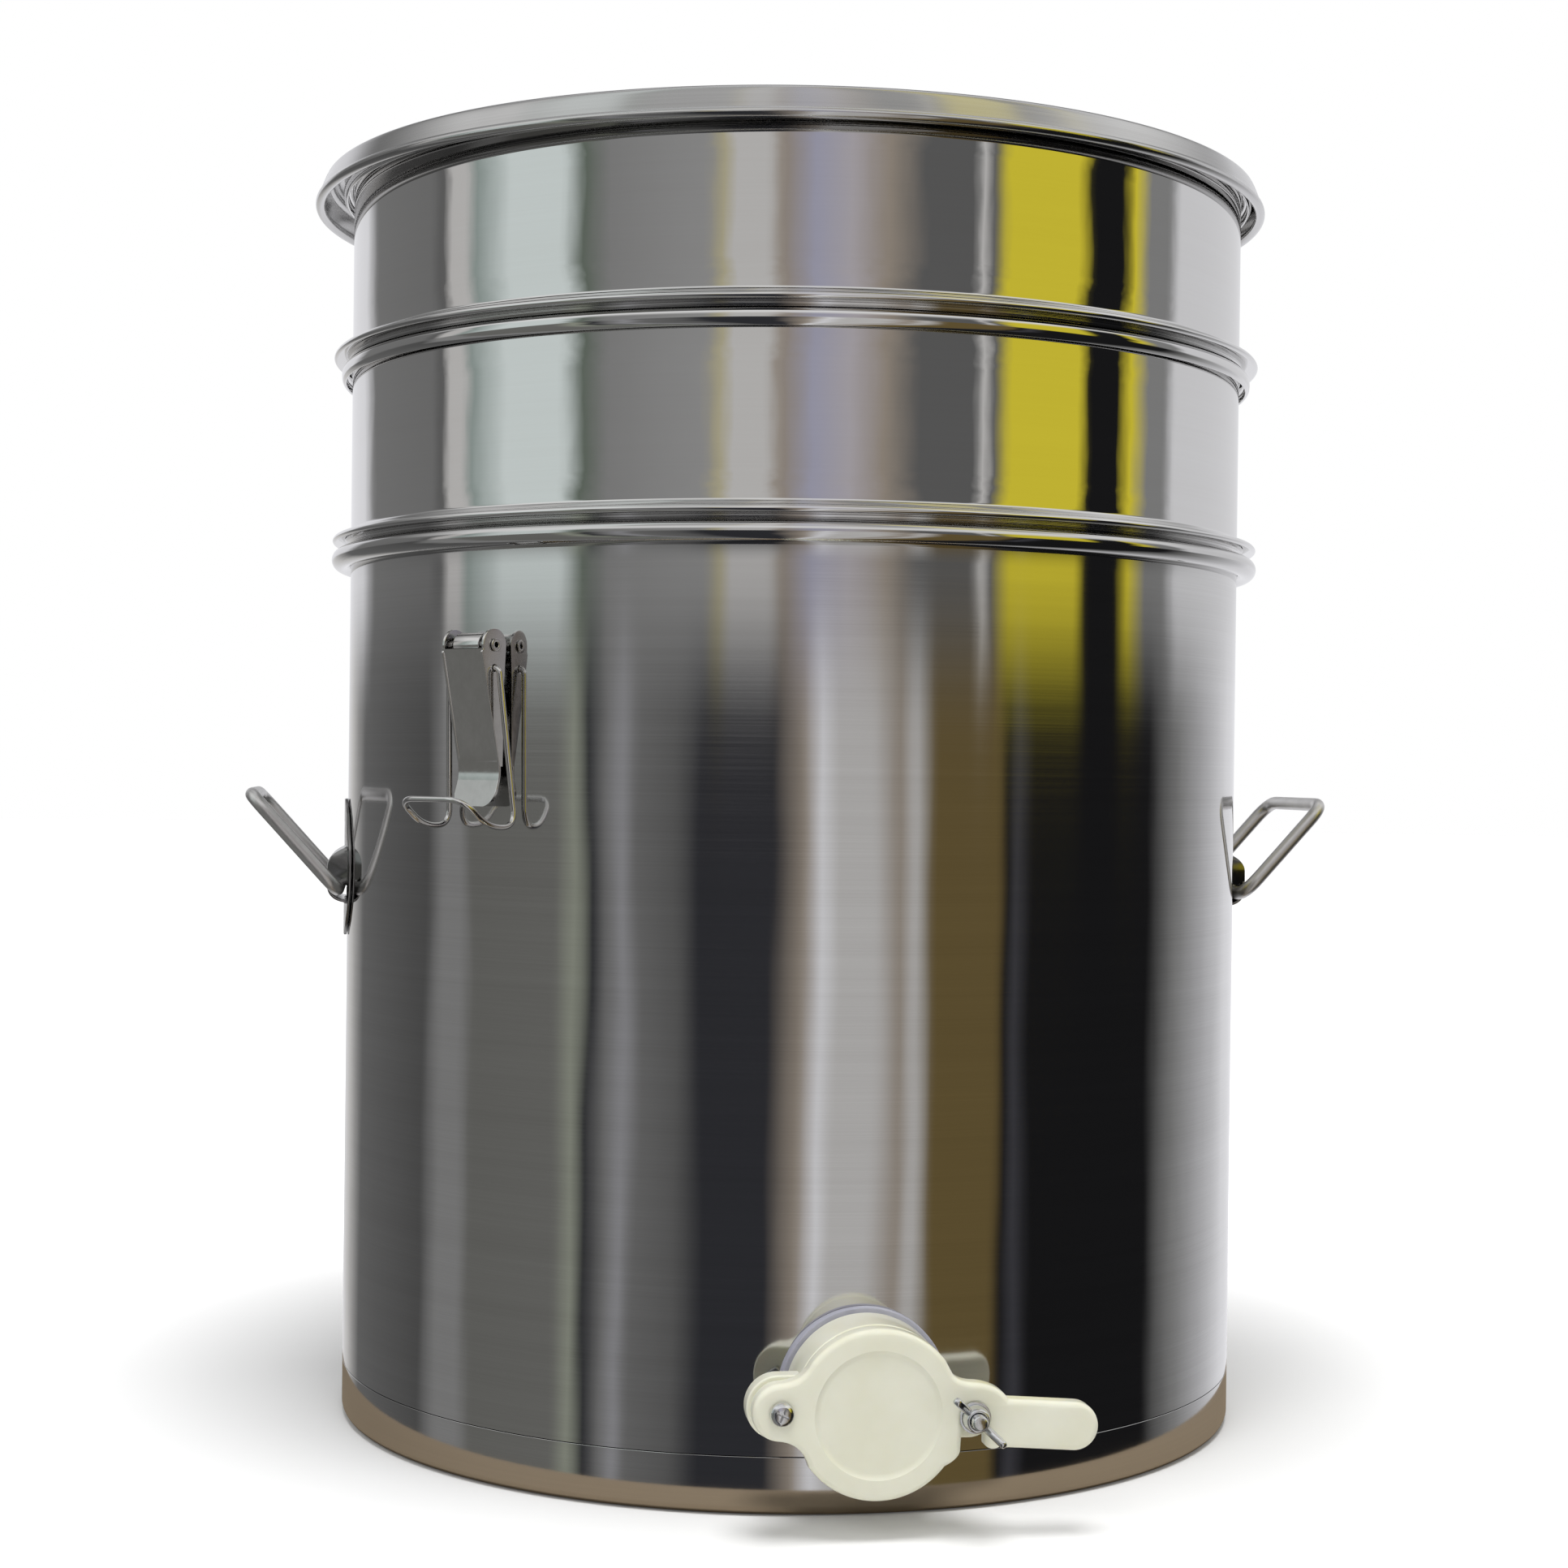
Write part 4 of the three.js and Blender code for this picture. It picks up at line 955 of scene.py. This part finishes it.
def wing_nut():
    b = WING_BACK
    hub = [(3.2, b), (5.3, b), (5.1, b + 1.4), (4.6, b + 4.4), (4.1, b + 5.2), (3.2, b + 5.2)]
    nut = outward_turned("wing_nut_body", softened(hub, 0.5, 4), 0, 0, 48)
    wing = [(4.2, b + 0.9)]
    curve_to(wing, (8, b + 1.6), (12.6, b + 5.4), 8)
    curve_to(wing, (14.4, b + 8.4), (11.6, b + 9), 8)
    curve_to(wing, (8.4, b + 8), (4.2, b + 4.6), 8)
    for turn in (0, 180):
        blade = plate("blade", [wing], WING_THICKNESS, 1.2)
        moved(blade, Matrix.Translation((0, 0, -WING_THICKNESS / 2)))
        standing = Matrix(((1, 0, 0, 0), (0, -1, 0, 0), (0, 0, -1, 0), (0, 0, 0, 1)))
        union(nut, moved(blade, Matrix.Rotation(math.radians(turn), 4, "Y") @ standing))
    upright = Matrix.Rotation(math.radians(WING_TURN), 4, "Y")
    return moved(nut, Matrix.Translation((CLAMP_X, 0, GATE_Z + CLAMP_Z)) @ upright)


place(gate_body(), "tank", "cream_plastic", cream, ["gate_body"], weighted=True)
outer_gasket = gasket("outer_gasket", 32.7, 195, GATE_BACK - GAP, TANK_R + GAP, False)
place(outer_gasket, "tank", "grey_rubber", rubber, ["gate_outer_gasket"])
inner_gasket = gasket("inner_gasket", 32.0, 193.8, 199.5, TANK_R - SHEET - GAP, True)
place(inner_gasket, "tank", "grey_rubber", rubber, ["gate_inner_gasket"])
place(lock_nut(), "tank", "cream_plastic", cream, ["gate_lock_nut"], weighted=True)
place(gate_cover(), "gate_cover", "cream_plastic", cream, ["gate_cover"], weighted=True)
place(hinge_screw(), "tank", "plated_fasteners", zinc_plate, ["gate_hinge_screw"])
place(hinge_nut(), "tank", "plated_fasteners", zinc_plate, ["gate_hinge_nut"], weighted=True)
place(clamp_bolt(), "tank", "plated_fasteners", zinc_plate, ["gate_clamp_bolt"], angle=50)
place(clamp_washer(), "clamp_washer", "plated_fasteners", zinc_plate, ["gate_clamp_washer"])
place(wing_nut(), "wing_nut", "plated_fasteners", zinc_plate, ["gate_wing_nut"], angle=45)


# ---- Floor ----
# Warm tone the floor shows only to glossy rays: a painted reflection of a wooden board that is not in the
# scene.
PAINTED_BOARD_REFLECTION = (0.36, 0.28, 0.19, 1)
MIRRORED_FLOOR_R = 0.236
FLOOR_R = 12.0


def floor_material():
    """Pale and even to the camera; to glossy rays a warm board colour, a painted reflection in the polished
    foot of the tank.
    """
    s = Shader("pale_floor")
    clouds = s.noise(s.place, scale=2.5, detail=3.0)
    tone = s.ramp(clouds, [(0.35, grey(0.88)), (0.65, grey(0.91))])
    distance = s.node("ShaderNodeVectorMath", {0: s.place}, operation="LENGTH").outputs["Value"]
    glow = s.between(distance, 0.05, 0.75, (0.2, 0.55))
    path = s.node("ShaderNodeLightPath").outputs
    inputs = {0: path["Is Glossy Ray"], 6: tone, 7: PAINTED_BOARD_REFLECTION}
    shade = s.node("ShaderNodeMix", inputs, data_type="RGBA")
    s.set(Base_Color=shade.outputs[2], Roughness=0.75)
    s.set(Emission_Color=(1, 1, 1, 1), Emission_Strength=s.math("MULTIPLY", glow, path["Is Camera Ray"]))
    return s.material


def floor_ring(name, inner, outer, glossy):
    steps = 96
    angles = np.linspace(0, 2 * math.pi, steps, endpoint=False)
    vertices = [(r * math.cos(a), r * math.sin(a), 0) for r in (inner, outer) for a in angles]
    faces = [[k, (k + 1) % steps, steps + (k + 1) % steps, steps + k] for k in range(steps)]
    ring = bpy.data.objects.new(name, bpy.data.meshes.new(name))
    ring.data.from_pydata(vertices, [], faces)
    ring.data.flip_normals()
    ring.data.materials.append(pale)
    bpy.context.scene.collection.objects.link(ring)
    ring.location.z = -0.0002
    ring.visible_glossy = glossy


pale = floor_material()
floor_ring("floor_near", 0.001, MIRRORED_FLOOR_R, True)
floor_ring("floor_far", MIRRORED_FLOOR_R, FLOOR_R, False)


# ---- Light ----
ROOM_LIGHT = 0.32
BACKDROP_LIGHT = 1.0
PANEL_CHANGE = (0.012, 0.078)
CEILING_BEHIND = (0.15, 0.75, 0.98, 0.22)


def studio_world():
    """Soft upright panels all round, pale and dark, so that the polished sheet has something to show.

    Rising directions pass from the low panels to the high ones over PANEL_CHANGE, and CEILING gives the
    share of ceiling at each height. The ceiling dims towards the back as CEILING_BEHIND says.
    """
    world = bpy.data.worlds.new("studio")
    bpy.context.scene.world = world
    world.use_nodes = True
    made = Nodes(world.node_tree)
    made.tree.nodes.clear()
    direction = made.node("ShaderNodeTexCoord").outputs["Generated"]
    x, y, z = made.node("ShaderNodeSeparateXYZ", {0: direction}).outputs
    inputs = {"Vector": direction, "Scale": (1.0, 1.0, 3.0)}
    stretched = made.node("ShaderNodeMapping", inputs).outputs["Vector"]

    def drift(scale, reach):
        noise = made.node("ShaderNodeTexNoise", {"Vector": stretched, "Scale": scale})
        return made.math("MULTIPLY", made.math("SUBTRACT", noise.outputs["Fac"], 0.5), reach)

    wander = made.math("ADD", drift(2.4, 0.022), drift(15.0, 0.007))
    azimuth = made.math("ARCTAN2", x, made.math("MULTIPLY", y, -1.0))
    turn = made.math("ADD", made.math("DIVIDE", azimuth, 2 * math.pi), 0.5)
    factor = made.math("ADD", turn, wander)

    def panels(stops):
        return made.ramp(factor, [((degrees + 180) / 360, colour) for degrees, colour in stops])

    def step(value, limits):
        inputs = {"Value": value} | dict(zip(("From Min", "From Max", "To Min", "To Max"), limits))
        return made.node("ShaderNodeMapRange", inputs, interpolation_type="SMOOTHSTEP").outputs["Result"]

    def mix(share, first, second):
        return made.node("ShaderNodeMix", {0: share, 6: first, 7: second}, data_type="RGBA").outputs[2]

    walls = mix(step(z, PANEL_CHANGE), panels(LOW_PANELS), panels(HIGH_PANELS))
    overhead = made.ramp(z, [(height, grey(share)) for height, share in CEILING])
    room = mix(overhead, walls, step(y, CEILING_BEHIND))
    path = made.node("ShaderNodeLightPath").outputs
    seen = made.math("MULTIPLY", path["Is Camera Ray"], BACKDROP_LIGHT - ROOM_LIGHT)
    strength = made.math("ADD", ROOM_LIGHT, seen)
    backdrop = made.node("ShaderNodeBackground", {"Color": (1, 1, 1, 1), "Strength": strength})
    lit = made.node("ShaderNodeBackground", {"Color": room, "Strength": 1.0})
    inputs = {0: path["Is Glossy Ray"], 1: backdrop.outputs[0], 2: lit.outputs[0]}
    chosen = made.node("ShaderNodeMixShader", inputs)
    made.node("ShaderNodeOutputWorld", {"Surface": chosen.outputs[0]})


# Panels are (degrees from -Y towards +X, colour)
WHITE = (0.85, 0.85, 0.88)
PALE = (0.62, 0.61, 0.60)
MINT = (0.76, 0.83, 0.82)
MID = grey(0.27)
DUSK = grey(0.13)
DARK = (0.035, 0.036, 0.042)
BLACK = (0.012, 0.012, 0.013)
WARM = (0.36, 0.31, 0.26)
OCHRE = (0.16, 0.115, 0.045)
YELLOW = (0.78, 0.66, 0.05)
BLUE = (0.42, 0.42, 0.53)
LIMB = (0.78, 0.78, 0.80)
CEILING = [(0.0, 0.0), (0.38, 0.0), (0.5, 0.75), (0.66, 1.0), (0.8, 0.45), (1.0, 0.35)]

HIGH_PANELS = [
    (-180, WHITE), (-152, WHITE), (-143, grey(0.22)), (-112, grey(0.2)), (-107, DUSK), (-104, PALE),
    (-99, PALE), (-96, (0.32, 0.38, 0.36)), (-84, MINT), (-68, MINT), (-62, (0.15, 0.18, 0.15)), (-55, MID),
    (-30, grey(0.34)), (-27, (0.5, 0.46, 0.3)), (-24, PALE), (-16, PALE),
    (-12, WARM), (-4, BLUE), (6, (0.5, 0.47, 0.5)), (14, WARM), (22, DUSK), (36, DUSK), (38, PALE),
    (41, DUSK),
    (46, YELLOW), (65, YELLOW), (69, BLACK), (79, BLACK), (83, YELLOW), (90, MID), (98, MID), (103, LIMB),
]
LOW_PANELS = [
    (-180, WHITE), (-164, PALE), (-148, grey(0.16)), (-112, grey(0.1)), (-105, MID),
    (-98, MID), (-94, (0.17, 0.17, 0.16)), (-68, (0.18, 0.18, 0.17)), (-63, (0.33, 0.35, 0.29)),
    (-59, DARK),
    (-55, grey(0.2)), (-51, (0.34, 0.34, 0.36)), (-47, grey(0.18)), (-36, grey(0.13)),
    (-30, DARK), (-14, DARK), (-6, WARM), (-1.5, WHITE), (2.5, PALE), (12, PALE), (18, WARM), (22, PALE),
    (27, OCHRE), (43, OCHRE), (46, BLACK), (49, (0.06, 0.06, 0.07)), (53, BLACK), (92, BLACK), (98, DUSK),
    (106, MID), (124, (0.6, 0.6, 0.62)), (140, WHITE),
]
studio_world()


def area_light(name, location, target, size, watts, glossy=True):
    data = bpy.data.lights.new(name, "AREA")
    data.shape = "DISK"
    data.size = size
    data.energy = watts
    lamp = bpy.data.objects.new(name, data)
    bpy.context.scene.collection.objects.link(lamp)
    lamp.location = location
    lamp.rotation_euler = (Vector(target) - Vector(location)).to_track_quat("-Z", "Y").to_euler()
    lamp.visible_glossy = glossy
    lamp.visible_camera = False


area_light("key", (-1.3, -1.9, 1.9), (0, 0, 0.2), 1.1, 9, glossy=False)
area_light("fill", (1.6, -1.5, 1.1), (0, 0, 0.2), 1.2, 3, glossy=False)
area_light("top", (0.0, -0.6, 2.4), (0, -0.2, 0.3), 1.2, 44, glossy=False)


# ---- Camera ----
CAMERA_DISTANCE = 1.213
CAMERA_AZIMUTH = 8.65
CAMERA_HEIGHT = 0.2868
CAMERA_YAW = 0.15
CAMERA_PITCH = -0.34
CAMERA_ROLL = 0.67

around = math.radians(CAMERA_AZIMUTH)
camera_data = bpy.data.cameras.new("photo_view")
camera_data.sensor_width = 36
camera_data.lens = 60.8
camera = bpy.data.objects.new("photo_view", camera_data)
bpy.context.scene.collection.objects.link(camera)
camera.location = (-CAMERA_DISTANCE * math.sin(around), -CAMERA_DISTANCE * math.cos(around), CAMERA_HEIGHT)
heading = Matrix.Rotation(-around + math.radians(CAMERA_YAW), 4, "Z")
tilt = Matrix.Rotation(math.radians(90 + CAMERA_PITCH), 4, "X")
roll = Matrix.Rotation(math.radians(CAMERA_ROLL), 4, "Z")
camera.rotation_euler = (heading @ tilt @ roll).to_euler()
bpy.context.scene.camera = camera
bpy.context.scene.view_settings.view_transform = "Standard"
